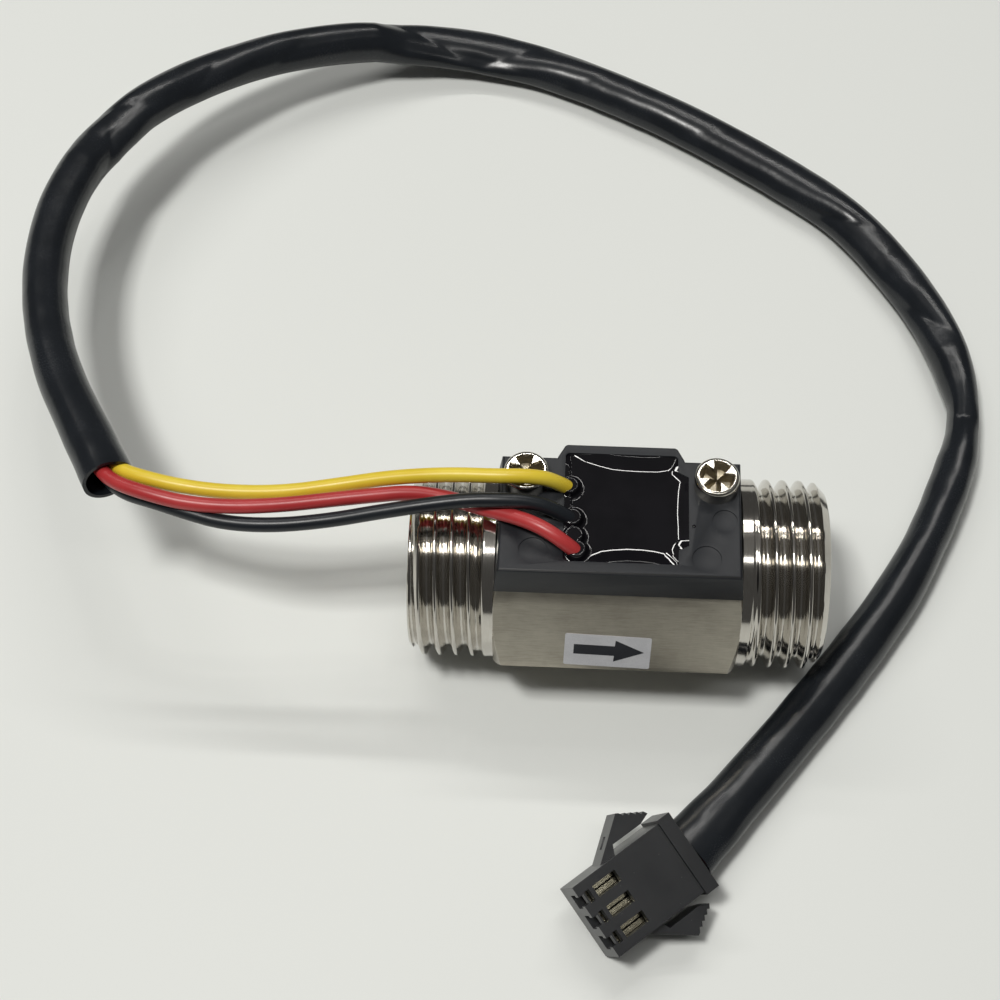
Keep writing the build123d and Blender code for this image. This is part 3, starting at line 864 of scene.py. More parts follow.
@dataclass
class PottingDish:
    """Resin surface in the well: a shallow dish with a rolled edge line and collars at the wires."""

    level: float = 22.43
    low: Flat = (-6.25, -5.85)
    high: Flat = (7.5, 7.85)
    well: tuple[Flat, Flat] = ((-6.2, 6.35), (-5.8, 7.8))
    niche: tuple[Flat, Flat] = ((6.0, 7.4), (-3.75, 5.45))
    turning: int = 25
    step: float = 0.08
    curve: float = 0.15
    lead_in: float = 0.4
    rise_limit: float = 0.29
    climb: float = 0.85
    climb_radius: float = 0.86
    climb_width: float = 0.3
    outline: ClassVar[list[Flat]] = [
        (-5.59, 7.91), (-4.83, 7.38), (-3.73, 6.65), (-2.65, 6.31), (-0.99, 5.88), (0.66, 5.76),
        (2.3, 5.73), (3.95, 5.75), (4.94, 5.93), (5.35, 6.29), (5.68, 6.97), (6.09, 7.66),
        (5.75, 6.6), (5.43, 5.91), (5.46, 5.34), (5.92, 4.88), (6.25, 4.51), (6.11, 3.46),
        (6.03, 2.14), (5.99, 0.65), (6.07, -1.02), (6.07, -2.31), (5.66, -2.96), (5.42, -3.61),
        (5.58, -4.33), (6.22, -5.07), (6.06, -5.4), (5.42, -4.7), (4.78, -4.11), (3.66, -3.87),
        (2.37, -3.74), (0.76, -3.71), (-0.84, -3.87), (-2.13, -4.1), (-3.08, -4.54), (-4.03, -5.05),
        (-4.9, -5.43)]
    collars: ClassVar[list[list[Flat]]] = [
        [(-6.6, 2.2), (-6.01, 2.26), (-5.19, 2.26), (-4.79, 2.84), (-4.7, 3.6), (-5.0, 4.44),
         (-5.43, 5.09), (-6.26, 5.25), (-6.6, 5.2)],
        [(-6.6, 1.7), (-6.2, 1.7), (-5.33, 1.59), (-4.74, 0.77), (-4.39, -0.15), (-4.12, -1.43),
         (-3.85, -2.34), (-3.83, -3.26), (-4.14, -3.82), (-4.86, -4.12), (-5.49, -4.51),
         (-6.14, -4.45), (-6.6, -4.4)]]
    wire_places: ClassVar[list[Flat]] = [(-5.5, 3.35), (-5.1, -0.5), (-4.9, -2.6), (-4.55, -4.3)]

    @staticmethod
    def gap(line: Sequence[Flat], x: np.ndarray, y: np.ndarray) -> np.ndarray:
        """Distance from each place to a broken line.

        Args:
            line: corners of the line.
            x: places along the part.
            y: places across it.

        Returns:
            The distances.
        """
        best = np.full(x.shape, 1e9)
        for (ax, ay), (bx, by) in zip(line, line[1:]):
            dx, dy = bx - ax, by - ay
            share = np.clip(((x - ax) * dx + (y - ay) * dy) / (dx * dx + dy * dy), 0.0, 1.0)
            best = np.minimum(best, np.hypot(x - ax - share * dx, y - ay - share * dy))
        return best

    @staticmethod
    def within(ring: Sequence[Flat], x: np.ndarray, y: np.ndarray) -> np.ndarray:
        """Whether each place is inside a closed ring.

        Args:
            ring: corners of the ring.
            x: places along the part.
            y: places across it.

        Returns:
            True where a place is inside.
        """
        inside = np.zeros(x.shape, bool)
        for (ax, ay), (bx, by) in zip(ring, list(ring[1:]) + [ring[0]]):
            crosses = (ay > y) != (by > y)
            reach = ax + (bx - ax) * (y - ay) / ((by - ay) or 1e-9)
            inside ^= crosses & (x < reach)
        return inside

    def heights(self, x: np.ndarray, y: np.ndarray) -> np.ndarray:
        """Height of the resin at each place, in millimetres.

        Args:
            x: places along the part.
            y: places across it.

        Returns:
            The heights.
        """
        rear_and_right = self.outline[:self.turning + 1]
        front = self.outline[self.turning:]
        line = np.minimum(self.gap(rear_and_right, x, y), self.gap(front, x, y))
        inside = self.within(self.outline, x, y)
        height = self.level + self.rise(np.where(inside, line, -line))
        for ring in self.collars:
            edge = self.gap(ring, x, y)
            inner = self.within(ring, x, y)
            height = np.maximum(height, self.level + self.rise(np.where(inner, -edge, edge)))
        reach = np.min([np.hypot(x - cx, y - cy) for cx, cy in self.wire_places], axis=0)
        reach = np.maximum(reach - self.climb_radius, 0.0)
        return np.maximum(height, self.level + self.climb * np.exp(-(reach / self.climb_width) ** 2))

    def rise(self, inward: np.ndarray) -> np.ndarray:
        """Climb of the resin beside a line, by the distance on its flat side."""
        past = np.maximum(self.lead_in - inward, 0.0)
        return np.minimum(self.curve / 2 * past ** 2, self.rise_limit)

    def build(self) -> bpy.types.Object:
        """Make the resin's surface as a fine grid that runs a little into the well's walls.

        Returns:
            The piece.
        """
        xs = np.arange(self.low[0], self.high[0] + self.step / 2, self.step)
        ys = np.arange(self.low[1], self.high[1] + self.step / 2, self.step)
        grid_x, grid_y = np.meshgrid(xs, ys, indexing="ij")
        grid_z = self.heights(grid_x, grid_y)
        points = list(zip(grid_x.ravel(), grid_y.ravel(), grid_z.ravel()))
        faces = []
        for i in range(len(xs) - 1):
            for j in range(len(ys) - 1):
                middle = (xs[i] + self.step / 2, ys[j] + self.step / 2)
                if self.covers(*middle):
                    a = i * len(ys) + j
                    faces.append((a, a + len(ys), a + len(ys) + 1, a + 1))
        piece = new_piece("potting_surface", points, faces, POTTING, 80.0)
        with edited(piece.data) as work:
            loose = [corner for corner in work.verts if not corner.link_faces]
            bmesh.ops.delete(work, geom=loose, context="VERTS")
        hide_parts("potting")
        return piece

    def covers(self, x: float, y: float) -> bool:
        """Whether the resin, with a small margin into the walls, covers a place."""
        return any(left < x < right and front < y < rear
                   for (left, right), (front, rear) in (self.well, self.niche))


@dataclass
class PanScrew:
    """Pan head screw with a deep cross recess between pointed lands."""

    side: Side
    turn: float
    x: float = 10.15
    y: float = 4.2
    seat: float = 22.75
    radius: float = 2.4
    head: float = 1.9
    rounding: float = 0.42
    crown: float = 0.06
    recess: float = 1.15
    wing_half: float = 0.4
    flare: float = 0.36
    span_half: float = 1.9
    wall: float = 2.6
    shaded_recess_depth: float = 0.35
    margin: float = 0.3
    tip: float = 0.004
    shoulder_rows: int = 8
    rows: int = 72
    around: int = 264

    def recess_depth(self, x: float, y: float) -> float:
        """Depth of the cross recess at a place on the head.

        Args:
            x: place along the part, from the screw's centre.
            y: place across it, from the same.

        Returns:
            The depth, 0 on the lands.
        """
        angle = math.radians(self.turn)
        u = abs(x * math.cos(angle) + y * math.sin(angle))
        v = abs(-x * math.sin(angle) + y * math.cos(angle))
        deep = 0.0
        for long, wide in ((u, v), (v, u)):
            inside = min(self.span_half - math.hypot(long, wide), self.wing_half + self.flare * long - wide)
            deep = max(deep, min(self.recess, inside * self.wall))
        return deep

    def build(self) -> bpy.types.Object:
        """Make the head as turned rings, pressed down where the recess is, with painted shade on the recess's
        deep faces.

        Returns:
            The piece.
        """
        rings = []
        centre = (self.side.value * self.x, self.y)
        profile = [(self.radius, 0.0), (self.radius, (self.head - self.rounding) * 0.5),
                   (self.radius, self.head - self.rounding)]
        for share in np.linspace(0.12, 1.0, self.shoulder_rows):
            angle = share * math.pi / 2
            profile.append((self.radius - self.rounding * (1 - math.cos(angle)),
                            self.head - self.rounding * (1 - math.sin(angle))))
        top = self.radius - self.rounding
        for radius in np.linspace(top, 0.0, self.rows)[1:]:
            profile.append((max(radius, self.tip), self.head + self.crown * (1 - (radius / top) ** 2)))
        for radius, height in profile:
            ring = []
            for k in range(self.around):
                angle = math.tau * k / self.around
                dx, dy = radius * math.cos(angle), radius * math.sin(angle)
                deep = self.recess_depth(dx, dy) if radius < top + self.margin else 0.0
                ring.append((centre[0] + dx, centre[1] + dy, self.seat + height - deep))
            rings.append(ring)
        points, faces = rings_to_mesh(rings)
        name = "left" if self.side is Side.INLET else "right"
        piece = new_piece(f"screw_head_{name}", points, faces, NICKEL, 32.0)
        # painted shade: faces deep in the recess get the darker, browner recess metal
        piece.data.materials.append(NICKEL_RECESS_SHADED.material())
        for face in piece.data.polygons:
            middle = face.center / MM
            if self.recess_depth(middle.x - centre[0], middle.y - centre[1]) > self.shaded_recess_depth:
                face.material_index = 1
        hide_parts(f"cap_screw_{name}")
        return piece


@dataclass
class DirectionLabel:
    """Film label low on the front of the hexagon, with its printed arrow."""

    length: float = 9.3
    height: float = 4.0
    thickness: float = 0.1
    centre_x: float = -0.8
    centre_up: float = 2.45
    tilt: float = 1.7
    corner_radius: float = 0.2
    arrow_left: float = -3.65
    arrow_right: float = 3.95
    arrow_neck: float = 0.75
    shaft_half: float = 0.62
    head_half: float = 1.38
    arrow_up: float = 0.08
    barb: float = 0.05
    lift: float = 0.005
    ink_sunk: float = 0.01
    ink_raised: float = 0.012
    corner_steps: int = 4

    def place(self, along: float, up: float, out: float) -> Point:
        """Point on the label, given from its centre, in millimetres.

        Args:
            along: distance to the label's right.
            up: distance to its top.
            out: distance off the hexagon's face.

        Returns:
            The point.
        """
        slope = Vector((0.0, 0.5, math.sqrt(3) / 2))
        normal = Vector((0.0, -math.sqrt(3) / 2, 0.5))
        tilt = math.radians(self.tilt)
        right = Vector((1.0, 0.0, 0.0)) * math.cos(tilt) - slope * math.sin(tilt)
        rise = normal.cross(right)
        corner = Vector((self.centre_x, -ACROSS_FLATS / math.sqrt(3), AXIS_Z))
        return tuple(corner + slope * self.centre_up + right * along + rise * up + normal * out)

    def plate(self, name: str, outline: Sequence[Flat], low: float, high: float,
              finish: Finish) -> bpy.types.Object:
        """Thin plate on the label's plane with a given outline.

        Args:
            name: the piece's name.
            outline: its corners on the label.
            low: its underside's distance off the face.
            high: its top's distance.
            finish: its finish.

        Returns:
            The piece.
        """
        count = len(outline)
        points = [self.place(x, y, level) for level in (low, high) for x, y in outline]
        faces = [tuple(range(count))[::-1], tuple(range(count, 2 * count))]
        faces += [(k, (k + 1) % count, count + (k + 1) % count, count + k) for k in range(count)]
        piece = new_piece(name, points, faces, finish, 30.0)
        return piece

    def build(self) -> list[bpy.types.Object]:
        """Make the film and the arrow on it.

        Returns:
            The film and the arrow.
        """
        half_x, half_y = self.length / 2 - self.corner_radius, self.height / 2 - self.corner_radius
        film_outline = []
        for quarter, (sx, sy) in enumerate(((1, 1), (-1, 1), (-1, -1), (1, -1))):
            for k in range(self.corner_steps + 1):
                angle = math.radians(90 * quarter + 90 / self.corner_steps * k)
                film_outline.append((sx * half_x + self.corner_radius * math.cos(angle),
                                     sy * half_y + self.corner_radius * math.sin(angle)))
        film = self.plate("label_film_piece", film_outline, self.lift, self.thickness, LABEL_FILM)
        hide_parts("direction_label")
        up = self.arrow_up
        arrow_outline = [
            (self.arrow_left, up - self.shaft_half), (self.arrow_neck, up - self.shaft_half),
            (self.arrow_neck - self.barb, up - self.head_half), (self.arrow_right, up),
            (self.arrow_neck + self.barb, up + self.head_half), (self.arrow_neck, up + self.shaft_half),
            (self.arrow_left, up + self.shaft_half)]
        arrow = self.plate("flow_arrow", arrow_outline, self.thickness - self.ink_sunk,
                           self.thickness + self.ink_raised, LABEL_INK)
        return [film, arrow]


def nurbs_line(name: str, route: Sequence[Point], steps: int) -> bpy.types.Curve:
    """Curve with one smooth open spline.

    Args:
        name: the curve's name.
        route: its control points, in millimetres.
        steps: points drawn between two control points.

    Returns:
        The curve, without a bevel.
    """
    curve = bpy.data.curves.new(name, "CURVE")
    curve.dimensions = "3D"
    spline = curve.splines.new("NURBS")
    spline.points.add(len(route) - 1)
    for point, place in zip(spline.points, route):
        point.co = (*(value * MM for value in place), 1.0)
    spline.order_u = 3
    spline.use_endpoint_u = True
    spline.resolution_u = steps
    curve.resolution_u = steps
    return curve


def read_line(curve: bpy.types.Curve) -> np.ndarray:
    """Points along a curve's spline, in millimetres.

    Args:
        curve: the curve, without a bevel.

    Returns:
        One row for each point.
    """
    carrier = bpy.data.objects.new(curve.name + "_carrier", curve)
    mesh = bpy.data.meshes.new_from_object(carrier)
    points = np.array([vertex.co for vertex in mesh.vertices]) / MM
    bpy.data.objects.remove(carrier)
    bpy.data.meshes.remove(mesh)
    return points


def line_length(points: np.ndarray) -> float:
    """Length of a broken line."""
    return float(np.linalg.norm(np.diff(points, axis=0), axis=1).sum())


@dataclass
class Lead:
    """One insulated wire from the potting into the sleeve."""

    colour: str
    finish: Finish
    exit: Point
    route: Sequence[Point]
    diameter: float = 1.62

    def build(self) -> bpy.types.Object:
        """Returns:
            The piece.
        """
        curve = nurbs_line(f"{self.colour}_lead", self.route, 16)
        length = line_length(read_line(curve))
        curve.bevel_depth = self.diameter / 2 * MM
        curve.bevel_resolution = 8
        curve.use_fill_caps = True
        piece = add_piece(f"{self.colour}_lead", curve, self.finish)
        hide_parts(f"{self.colour}_wire")
        return piece


@dataclass(frozen=True)
class Kink:
    """Crease where the sleeve has folded in on one side.

    The angles go from the sleeve's inner side over its top, in degrees.
    """

    at: float
    reach: float
    depth: float
    angle: float
    slant: float = 0.0
    spread: float = 75.0

    def dent(self, at: float, angle: float) -> float:
        """Share of the radius that the crease takes away at a place.

        Args:
            at: distance along the sleeve.
            angle: angle about its centre line, in radians.

        Returns:
            The share.
        """
        off = (angle - math.radians(self.angle) + math.pi) % math.tau - math.pi
        along = abs(at - self.at - self.slant * off) / self.reach
        across = abs(off) / math.radians(self.spread)
        if along >= 1.0 or across >= 1.0:
            return 0.0
        return self.depth * (1.0 - along) ** 1.6 * math.cos(across * math.pi / 2)


@dataclass
class Sleeve:
    """Vinyl sleeve over the wires: a tube whose section, creases and ridges change along it."""

    diameter: float = 5.6
    wall: float = 0.4
    mouth_depth: float = 5.0
    mouth_inside: float = 0.05
    mouth_rim: float = 0.97
    around: int = 72
    spacing: float = 0.5
    table_gap: float = 0.03
    wires: int = 3
    ridge: float = 0.05
    ridge_middle: float = 0.64
    wave: float = 0.008
    even_width: float = 5.4
    lowest: float = 4.2
    tallest: float = 5.75
    route: ClassVar[list[Point]] = [
        (-55.5, 2.9, 22.0), (-59.8, 10.4, 20.3), (-64.5, 18.6, 18.6), (-68.1, 28.5, 17.0),
        (-69.6, 38.4, 15.9), (-69.0, 48.2, 15.0), (-65.4, 59.0, 13.8), (-58.4, 68.4, 12.0),
        (-49.0, 76.0, 9.7), (-38.2, 81.4, 7.0), (-26.8, 84.5, 4.4), (-15.7, 84.0, 3.0),
        (-4.1, 79.3, 2.85), (8.7, 72.6, 2.85), (20.1, 65.0, 2.85), (30.1, 56.9, 2.85),
        (36.9, 46.8, 2.85), (41.5, 36.3, 2.85), (42.8, 25.3, 2.85), (39.4, 14.6, 2.85),
        (33.9, 3.2, 2.85), (27.2, -6.5, 2.85), (20.8, -14.8, 2.9), (16.1, -20.7, 3.2),
        (12.2, -25.6, 3.8), (8.3, -30.1, 4.35)]
    widths: ClassVar[list[Flat]] = [
        (0.0, 5.75), (5.0, 5.65), (13.0, 5.45), (21.0, 5.27), (29.0, 5.2), (37.0, 5.3), (45.0, 5.38),
        (53.0, 5.6), (57.0, 6.15), (61.0, 6.05), (65.0, 5.6), (73.0, 5.8), (77.0, 5.8), (85.0, 5.55),
        (93.0, 5.4), (101.0, 5.25), (105.0, 6.35), (113.0, 6.7), (117.0, 6.8), (121.0, 6.55),
        (125.0, 6.2), (133.0, 5.95), (145.0, 6.0), (153.0, 6.2), (165.0, 6.1), (173.0, 5.75),
        (181.0, 5.9), (189.0, 5.45), (193.0, 5.3), (197.0, 5.1), (201.0, 4.65), (205.0, 3.95),
        (209.0, 3.95), (213.0, 4.7), (217.0, 4.95), (225.0, 4.95), (229.0, 5.2), (233.0, 5.45),
        (241.0, 5.7), (253.0, 5.95), (261.0, 6.0), (266.0, 6.2), (270.0, 6.6), (274.0, 7.0)]
    kinks: ClassVar[list[Kink]] = [
        Kink(57.0, 7.0, 0.22, 40.0, 3.0), Kink(63.5, 6.0, 0.14, 95.0, -3.0),
        Kink(77.0, 8.0, 0.16, 75.0, 4.0), Kink(88.0, 9.0, 0.1, 40.0, 4.0),
        Kink(108.0, 7.0, 0.24, 85.0, -5.0), Kink(120.5, 8.0, 0.2, 70.0, 4.0),
        Kink(131.0, 9.0, 0.1, 40.0, 3.0), Kink(150.0, 11.0, 0.09, 60.0, 4.0),
        Kink(173.0, 7.0, 0.2, 45.0, 4.0), Kink(181.0, 8.0, 0.12, 80.0, -3.0),
        Kink(191.5, 6.5, 0.2, 50.0, 4.0), Kink(207.5, 5.0, 0.3, 95.0, 0.0, 55.0),
        Kink(206.0, 5.0, 0.2, 10.0, 2.0), Kink(214.0, 6.0, 0.12, 60.0, 3.0)]
    twists: ClassVar[list[Flat]] = [
        (0.0, 60.0), (50.0, 80.0), (80.0, 30.0), (108.0, 50.0), (130.0, 20.0), (170.0, 35.0), (200.0, 75.0),
        (230.0, 45.0), (274.0, 30.0)]

    def section(self, at: float, share: float, angle: float) -> Flat:
        """Offset from the centre line, sideways and up, at a distance along it and an angle.

        Args:
            at: distance along the sleeve, in millimetres.
            share: scale of the section, under 1 for its inside.
            angle: angle about the centre line, from sideways towards up.

        Returns:
            Sideways and upward offsets, in millimetres.
        """
        width, twist = (float(np.interp(at, *zip(*table))) for table in (self.widths, self.twists))
        tall = min(self.tallest, max(self.lowest, 2 * self.even_width - width))
        over_wire = abs(math.cos(self.wires / 2 * (angle - math.radians(twist)) + math.pi / 2))
        radius = 1.0 + self.ridge * (over_wire - self.ridge_middle)
        radius -= sum(kink.dent(at, angle) for kink in self.kinks)
        radius += self.wave * math.sin(at * 0.9 + 2.0 * math.sin(at * 0.23)) * math.cos(2.0 * angle)
        side = width / 2 * radius * share * math.cos(angle)
        up = tall / 2 * radius * share * math.sin(angle) - (self.diameter - tall) / 2
        return side, up

    def build(self) -> tuple[bpy.types.Object, list[Point]]:
        """Make the open-mouthed tube.

        Returns:
            The piece and the points that it follows, in metres.
        """
        curve = nurbs_line("sleeve_line", self.route, 18)
        line = read_line(curve)
        bpy.data.curves.remove(curve)
        gaps = np.linalg.norm(np.diff(line, axis=0), axis=1)
        travel = np.concatenate(([0.0], np.cumsum(gaps)))
        count = round(travel[-1] / self.spacing)
        stations = np.linspace(0.0, travel[-1], count + 1)
        centres = np.stack([np.interp(stations, travel, line[:, axis]) for axis in range(3)], axis=1)
        inner_share = 1.0 - 2 * self.wall / self.diameter
        depth_rows = [at for at in stations if at <= self.mouth_depth][::-1]
        rings = [self.ring(centres, stations, at, inner_share) for at in depth_rows]
        rings.append(self.ring(centres, stations, 0.0, inner_share + self.mouth_inside))
        rings.append(self.ring(centres, stations, 0.0, self.mouth_rim))
        rings += [self.ring(centres, stations, at, 1.0) for at in stations]
        points, faces = rings_to_mesh(rings)
        last = len(points) - self.around
        faces.append(tuple(range(last, len(points))))
        faces.append(tuple(range(self.around))[::-1])
        piece = new_piece("vinyl_sleeve", points, faces, SLEEVE_VINYL, 50.0)
        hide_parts("sleeve")
        path = [tuple(float(value) * MM for value in centre) for centre in centres]
        return piece, path

    def ring(self, centres: np.ndarray, stations: np.ndarray, at: float, share: float) -> list[Point]:
        """Ring of the tube at a distance along it.

        Args:
            centres: points of the centre line.
            stations: their distances along it.
            at: the ring's distance.
            share: scale of the section.

        Returns:
            The ring's points.
        """
        row = int(np.searchsorted(stations, at))
        row = min(max(row, 1), len(stations) - 2)
        centre = np.array([np.interp(at, stations, centres[:, axis]) for axis in range(3)])
        tangent = centres[row + 1] - centres[row - 1]
        tangent /= np.linalg.norm(tangent)
        side = np.cross(tangent, (0.0, 0.0, 1.0))
        side /= np.linalg.norm(side)
        up = np.cross(side, tangent)
        ring = []
        for k in range(self.around):
            sideways, rise = self.section(at, share, math.tau * k / self.around)
            x, y, z = centre + side * sideways + up * rise
            ring.append((x, y, max(z, TABLE_Z + self.table_gap)))
        return ring


@dataclass
class Plug:
    """Three-way plug on the sleeve, with its terminals and the short ends of the wires."""

    centre: Flat = (2.5, -34.9)
    yaw: float = 39.5
    roll: float = 20.0
    length: float = 11.4
    width: float = 8.5
    thickness: float = 5.6
    flange: float = 1.6
    flange_step: float = 0.35
    clear: float = 0.05
    pitch: float = 2.5
    cavity_centre: float = 0.5
    tail_start: float = 2.75
    pocket: float = 2.2
    gather: float = 0.95
    tuck: float = 0.15
    sides: int = 20
    rounding: float = 0.1
    wire_diameter: float = 1.62

    def frame(self) -> Matrix:
        """Place of the plug: along itself, to its left, and up from its face.

        Returns:
            The place as a matrix, in millimetres.
        """
        yaw, roll = math.radians(self.yaw), math.radians(self.roll)
        along = Vector((math.cos(yaw), math.sin(yaw), 0.0))
        level = Vector((-math.sin(yaw), math.cos(yaw), 0.0))
        left = level * math.cos(roll) + Vector((0.0, 0.0, 1.0)) * math.sin(roll)
        height = ((self.width / 2 + self.flange_step) * math.sin(roll)
                  + (self.thickness / 2 + self.flange_step) * math.cos(roll) + self.clear)
        place = Matrix((along, left, along.cross(left))).transposed().to_4x4()
        place.translation = Vector((*self.centre, height))
        return place

    def build(self) -> list[bpy.types.Object]:
        """Make the housing, dress the terminals and add the wire ends.

        Returns:
            The housing, the terminals and the wire ends.
        """
        housing = copy_node("plug_housing", "plug_shell", PLUG_PLASTIC)
        soften(housing, self.rounding, 35.0)
        even_normals = housing.modifiers.new("even_normals", "WEIGHTED_NORMAL")
        even_normals.keep_sharp = True
        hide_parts("plug_housing")
        pieces = [housing]
        for way, (colour, finish) in {1: ("yellow", YELLOW_VINYL), 0: ("black", BLACK_VINYL),
                                      -1: ("red", RED_VINYL)}.items():
            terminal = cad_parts[f"terminal_{colour}"]
            dress(terminal, CONTACT_TIN)
            pieces += [terminal, self.build_tail(way, colour, finish)]
        return pieces

    def build_tail(self, way: int, colour: str, finish: Finish) -> bpy.types.Object:
        """Short end of one wire between its crimp and the sleeve.

        Args:
            way: the wire's row from the middle of the plug, -1 to 1.
            colour: its colour.
            finish: its finish.

        Returns:
            The piece.
        """
        rear = self.length / 2 + self.flange
        side = way * self.pitch
        local = [(self.tail_start, side, self.cavity_centre), (rear - self.pocket, side, self.cavity_centre),
                 (rear - self.tuck, side * self.gather, self.cavity_centre)]
        place = self.frame()
        line = [place @ Vector(point) for point in local]
        curve = nurbs_line(f"{colour}_tail_line", [tuple(point) for point in line], 10)
        centres = read_line(curve)
        bpy.data.curves.remove(curve)
        rings = []
        turns = [math.tau * k / self.sides for k in range(self.sides)]
        for row, centre in enumerate(centres):
            tangent = Vector(centres[min(row + 1, len(centres) - 1)] - centres[max(row - 1, 0)]).normalized()
            across = tangent.cross(Vector((0, 0, 1))).normalized()
            rise = across.cross(tangent)
            rings.append([tuple(Vector(centre) + (across * math.cos(turn) + rise * math.sin(turn))
                                * self.wire_diameter / 2) for turn in turns])
        points, faces = rings_to_mesh(rings)
        piece = new_piece(f"{colour}_tail", points, faces, finish, 60.0)
        return piece


@dataclass
class Harness:
    """The three wires, the sleeve over them and the plug on its end."""

    leads: ClassVar[list[Lead]] = [
        Lead("yellow", YELLOW_VINYL, (-5.6, 3.3, 22.7), [
            (-5.0, 3.35, 21.85), (-7.1, 3.15, 24.4), (-9.7, 2.8, 25.7), (-13.0, 2.6, 25.8),
            (-18.5, 3.0, 25.1), (-24.5, 3.1, 23.9), (-30.0, 2.6, 22.8), (-36.0, 1.6, 22.45),
            (-42.0, 1.35, 22.5), (-47.3, 1.75, 22.75), (-51.4, 2.75, 22.65), (-54.2, 3.85, 22.2),
            (-55.85, 5.6, 21.75), (-57.15, 7.5, 21.3)]),
        Lead("red", RED_VINYL, (-4.5, -4.4, 22.7), [
            (-3.9, -4.6, 21.85), (-5.85, -4.05, 24.0), (-8.4, -2.6, 24.6), (-11.2, -1.2, 24.0),
            (-14.6, 0.05, 23.2), (-18.4, 1.3, 23.15), (-22.2, 1.55, 23.6), (-26.5, 1.0, 23.5),
            (-31.0, 0.4, 23.3), (-36.0, -0.35, 23.15), (-41.5, -0.85, 23.2), (-46.6, -0.65, 23.4),
            (-50.9, 0.4, 23.5), (-54.6, 1.9, 23.0), (-56.7, 4.05, 22.45), (-58.4, 6.7, 21.85)]),
        Lead("black", BLACK_VINYL, (-5.2, -0.5, 22.7), [
            (-4.3, -0.7, 21.85), (-6.9, -0.1, 23.9), (-9.9, 0.13, 25.1), (-12.6, 0.0, 25.3),
            (-15.9, 0.0, 25.1), (-20.0, -0.4, 24.6), (-25.5, -1.0, 23.6), (-31.0, -1.75, 22.6),
            (-37.0, -2.3, 22.05), (-42.3, -2.1, 21.95), (-46.4, -1.0, 22.0), (-49.9, 0.15, 21.95),
            (-53.7, 1.5, 21.35), (-56.0, 3.7, 20.7), (-57.8, 6.6, 20.05)]),
    ]

    def build(self) -> list[bpy.types.Object]:
        """Make the wires, the plug and the sleeve that carries it.

        Returns:
            All pieces of the cord.
        """
        pieces = [lead.build() for lead in self.leads]
        plug = Plug().build()
        tube = Sleeve()
        sleeve, path = tube.build()
        return pieces + plug + [sleeve]


@dataclass
class Inside:
    """Turbine parts in the bore and the electronics under the resin."""

    finishes: ClassVar[dict[str, Finish]] = {
        "inlet_spider": ACETAL, "outlet_spider": ACETAL, "chamber_liner": ACETAL,
        "inlet_bush": SINTERED, "outlet_bush": SINTERED, "retaining_ring": SPRING_STEEL,
        "rotor": ROTOR_ACETAL, "rotor_magnet": FERRITE, "rotor_shaft": SHAFT_STEEL,
        "circuit_board": BOARD, "hall_sensor": CHIP, "pull_up_resistor": CHIP,
        "filter_capacitor": CHIP, "solder_joints": SOLDER,
    }

    def build(self) -> list[bpy.types.Object]:
        """Dress the CAD nodes inside.

        Returns:
            The dressed nodes.
        """
        for node, finish in self.finishes.items():
            dress(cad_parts[node], finish)
        return [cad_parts[node] for node in self.finishes]


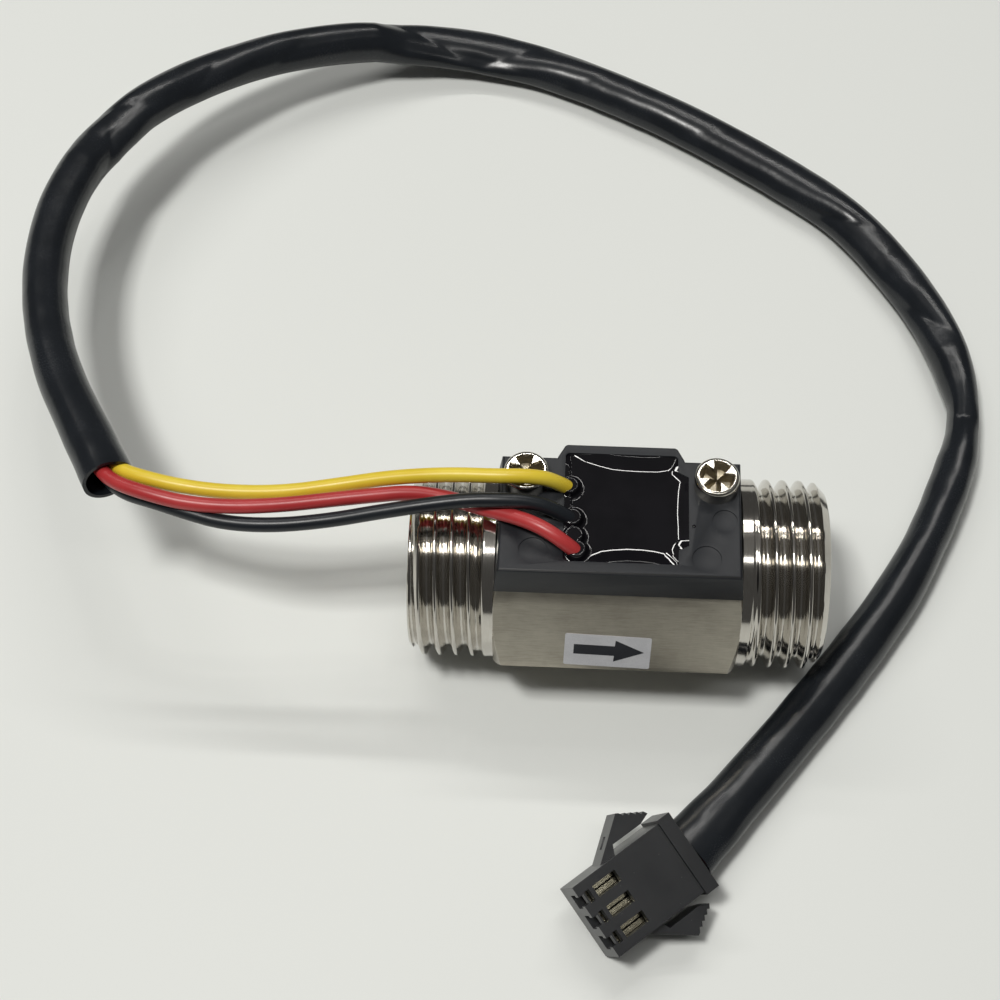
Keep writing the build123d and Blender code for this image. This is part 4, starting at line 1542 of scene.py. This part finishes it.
@dataclass
class Studio:
    """Table, lamps, world and the camera of the photograph."""

    focal: float = 1780.0
    image: float = 1000.0
    sensor: float = 36.0
    azimuth: float = 3.778
    elevation: float = 60.5
    roll: float = -1.282
    eye: Point = (-6.697, -91.849, 187.965)
    table_half: float = 1500.0
    world_tone: Tone = (0.07, 0.069, 0.067)

    def build(self) -> list[bpy.types.Object]:
        """Set the stage."""
        return [self.table(), self.camera(), *self.lamps()]

    def table(self) -> bpy.types.Object:
        """Wide plain table under the part.

        Returns:
            The table.
        """
        half = self.table_half
        mesh = bpy.data.meshes.new("table")
        corners = [(-half, -half), (half, -half), (half, half), (-half, half)]
        mesh.from_pydata([(x * MM, y * MM, TABLE_Z) for x, y in corners], [], [(0, 1, 2, 3)])
        mesh.materials.append(TABLE.material())
        table = add_object("table", mesh)
        return table

    def camera(self) -> bpy.types.Object:
        """Camera at the photograph's place, square image.

        Returns:
            The camera.
        """
        azimuth, elevation = math.radians(self.azimuth), math.radians(self.elevation)
        back = Vector((math.sin(azimuth) * math.cos(elevation),
                       -math.cos(azimuth) * math.cos(elevation), math.sin(elevation)))
        right = Vector((math.cos(azimuth), math.sin(azimuth), 0.0))
        up = back.cross(right)
        roll = math.radians(self.roll)
        right, up = (right * math.cos(roll) + up * math.sin(roll),
                     up * math.cos(roll) - right * math.sin(roll))
        data = bpy.data.cameras.new("photo_camera")
        data.lens = self.focal * self.sensor / self.image
        data.sensor_width = self.sensor
        data.clip_start = 0.01
        data.clip_end = 10.0
        camera = add_object("photo_camera", data)
        camera.matrix_world = Matrix((right, up, back)).transposed().to_4x4()
        camera.location = Vector(self.eye) * MM
        bpy.context.scene.camera = camera
        return camera

    def lamp(self, name: str, place: Point, target: Point, size: Flat, power: float,
             tone: Tone) -> bpy.types.Object:
        """Soft rectangular lamp.

        Args:
            name: its name.
            place: its centre, in millimetres.
            target: the point that it faces.
            size: its length along X and its other side, in millimetres.
            power: its power, in watts.
            tone: its colour.

        Returns:
            The lamp.
        """
        data = bpy.data.lights.new(name, "AREA")
        data.shape = "RECTANGLE"
        data.size, data.size_y = size[0] * MM, size[1] * MM
        data.energy = power
        data.color = tone
        lamp = add_object(name, data)
        toward = (Vector(target) - Vector(place)).normalized()
        side = Vector((1.0, 0.0, 0.0))
        side = (side - toward * side.dot(toward)).normalized()
        lamp.matrix_world = Matrix((side, (-toward).cross(side), -toward)).transposed().to_4x4()
        lamp.location = Vector(place) * MM
        return lamp

    def lamps(self) -> list[bpy.types.Object]:
        """Soft lamps behind, in front and overhead, and the plain world.

        Returns:
            The lamps.
        """
        world = bpy.context.scene.world or bpy.data.worlds.new("room")
        bpy.context.scene.world = world
        world.use_nodes = True
        background = world.node_tree.nodes["Background"]
        background.inputs["Color"].default_value = (*self.world_tone, 1.0)
        background.inputs["Strength"].default_value = 1.0
        warm = (1.0, 0.985, 0.95)
        return [
            self.lamp("key_softbox", (-225.0, -110.0, 800.0), (0.0, 10.0, 0.0), (130.0, 130.0), 3.6, warm),
            self.lamp("rear_tube", (-100.0, 575.0, 800.0), (0.0, 20.0, 0.0), (1000.0, 30.0), 2.3, warm),
            self.lamp("front_tube", (-60.0, -168.0, 800.0), (0.0, 0.0, 10.0), (900.0, 70.0), 0.95, warm),
            self.lamp("ceiling_panel", (0.0, 145.0, 1000.0), (0.0, 145.0, 0.0), (1800.0, 990.0), 0.5, warm),
            self.lamp("near_rim", (32.0, 352.0, 800.0), (0.0, 5.0, 22.0), (130.0, 13.0), 0.18, warm),
            self.lamp("left_rim", (-42.0, 436.0, 800.0), (0.0, 5.0, 22.0), (13.0, 110.0), 0.15, warm),
            self.lamp("right_rim", (112.0, 436.0, 800.0), (0.0, 5.0, 22.0), (13.0, 110.0), 0.15, warm),
        ]


def main() -> None:
    """Build the whole scene in order and report each piece."""
    logging.basicConfig(level=logging.INFO, format="%(name)s: %(message)s")
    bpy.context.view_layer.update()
    scene = bpy.context.scene
    scene.view_settings.view_transform = "Standard"
    Studio().build()
    steps: list[tuple[str, Callable[[], object]]] = [
        ("harness", Harness().build),
        ("hexagon", HexBody().build),
        ("inlet thread", ThreadedEnd(Side.INLET, 6.5, 0.86).build),
        ("outlet thread", ThreadedEnd(Side.OUTLET, 5.8, 0.92).build),
        ("cap", CapTop().build),
        ("potting", PottingDish().build),
        ("left screw", PanScrew(Side.INLET, 8.0).build),
        ("right screw", PanScrew(Side.OUTLET, 69.0).build),
        ("label", DirectionLabel().build),
        ("inside", Inside().build),
    ]
    for name, build in steps:
        made = build()
        for piece in made if isinstance(made, list) else [made]:
            log.info("%s: %s", name, piece.name)


if __name__ == "__main__":
    main()
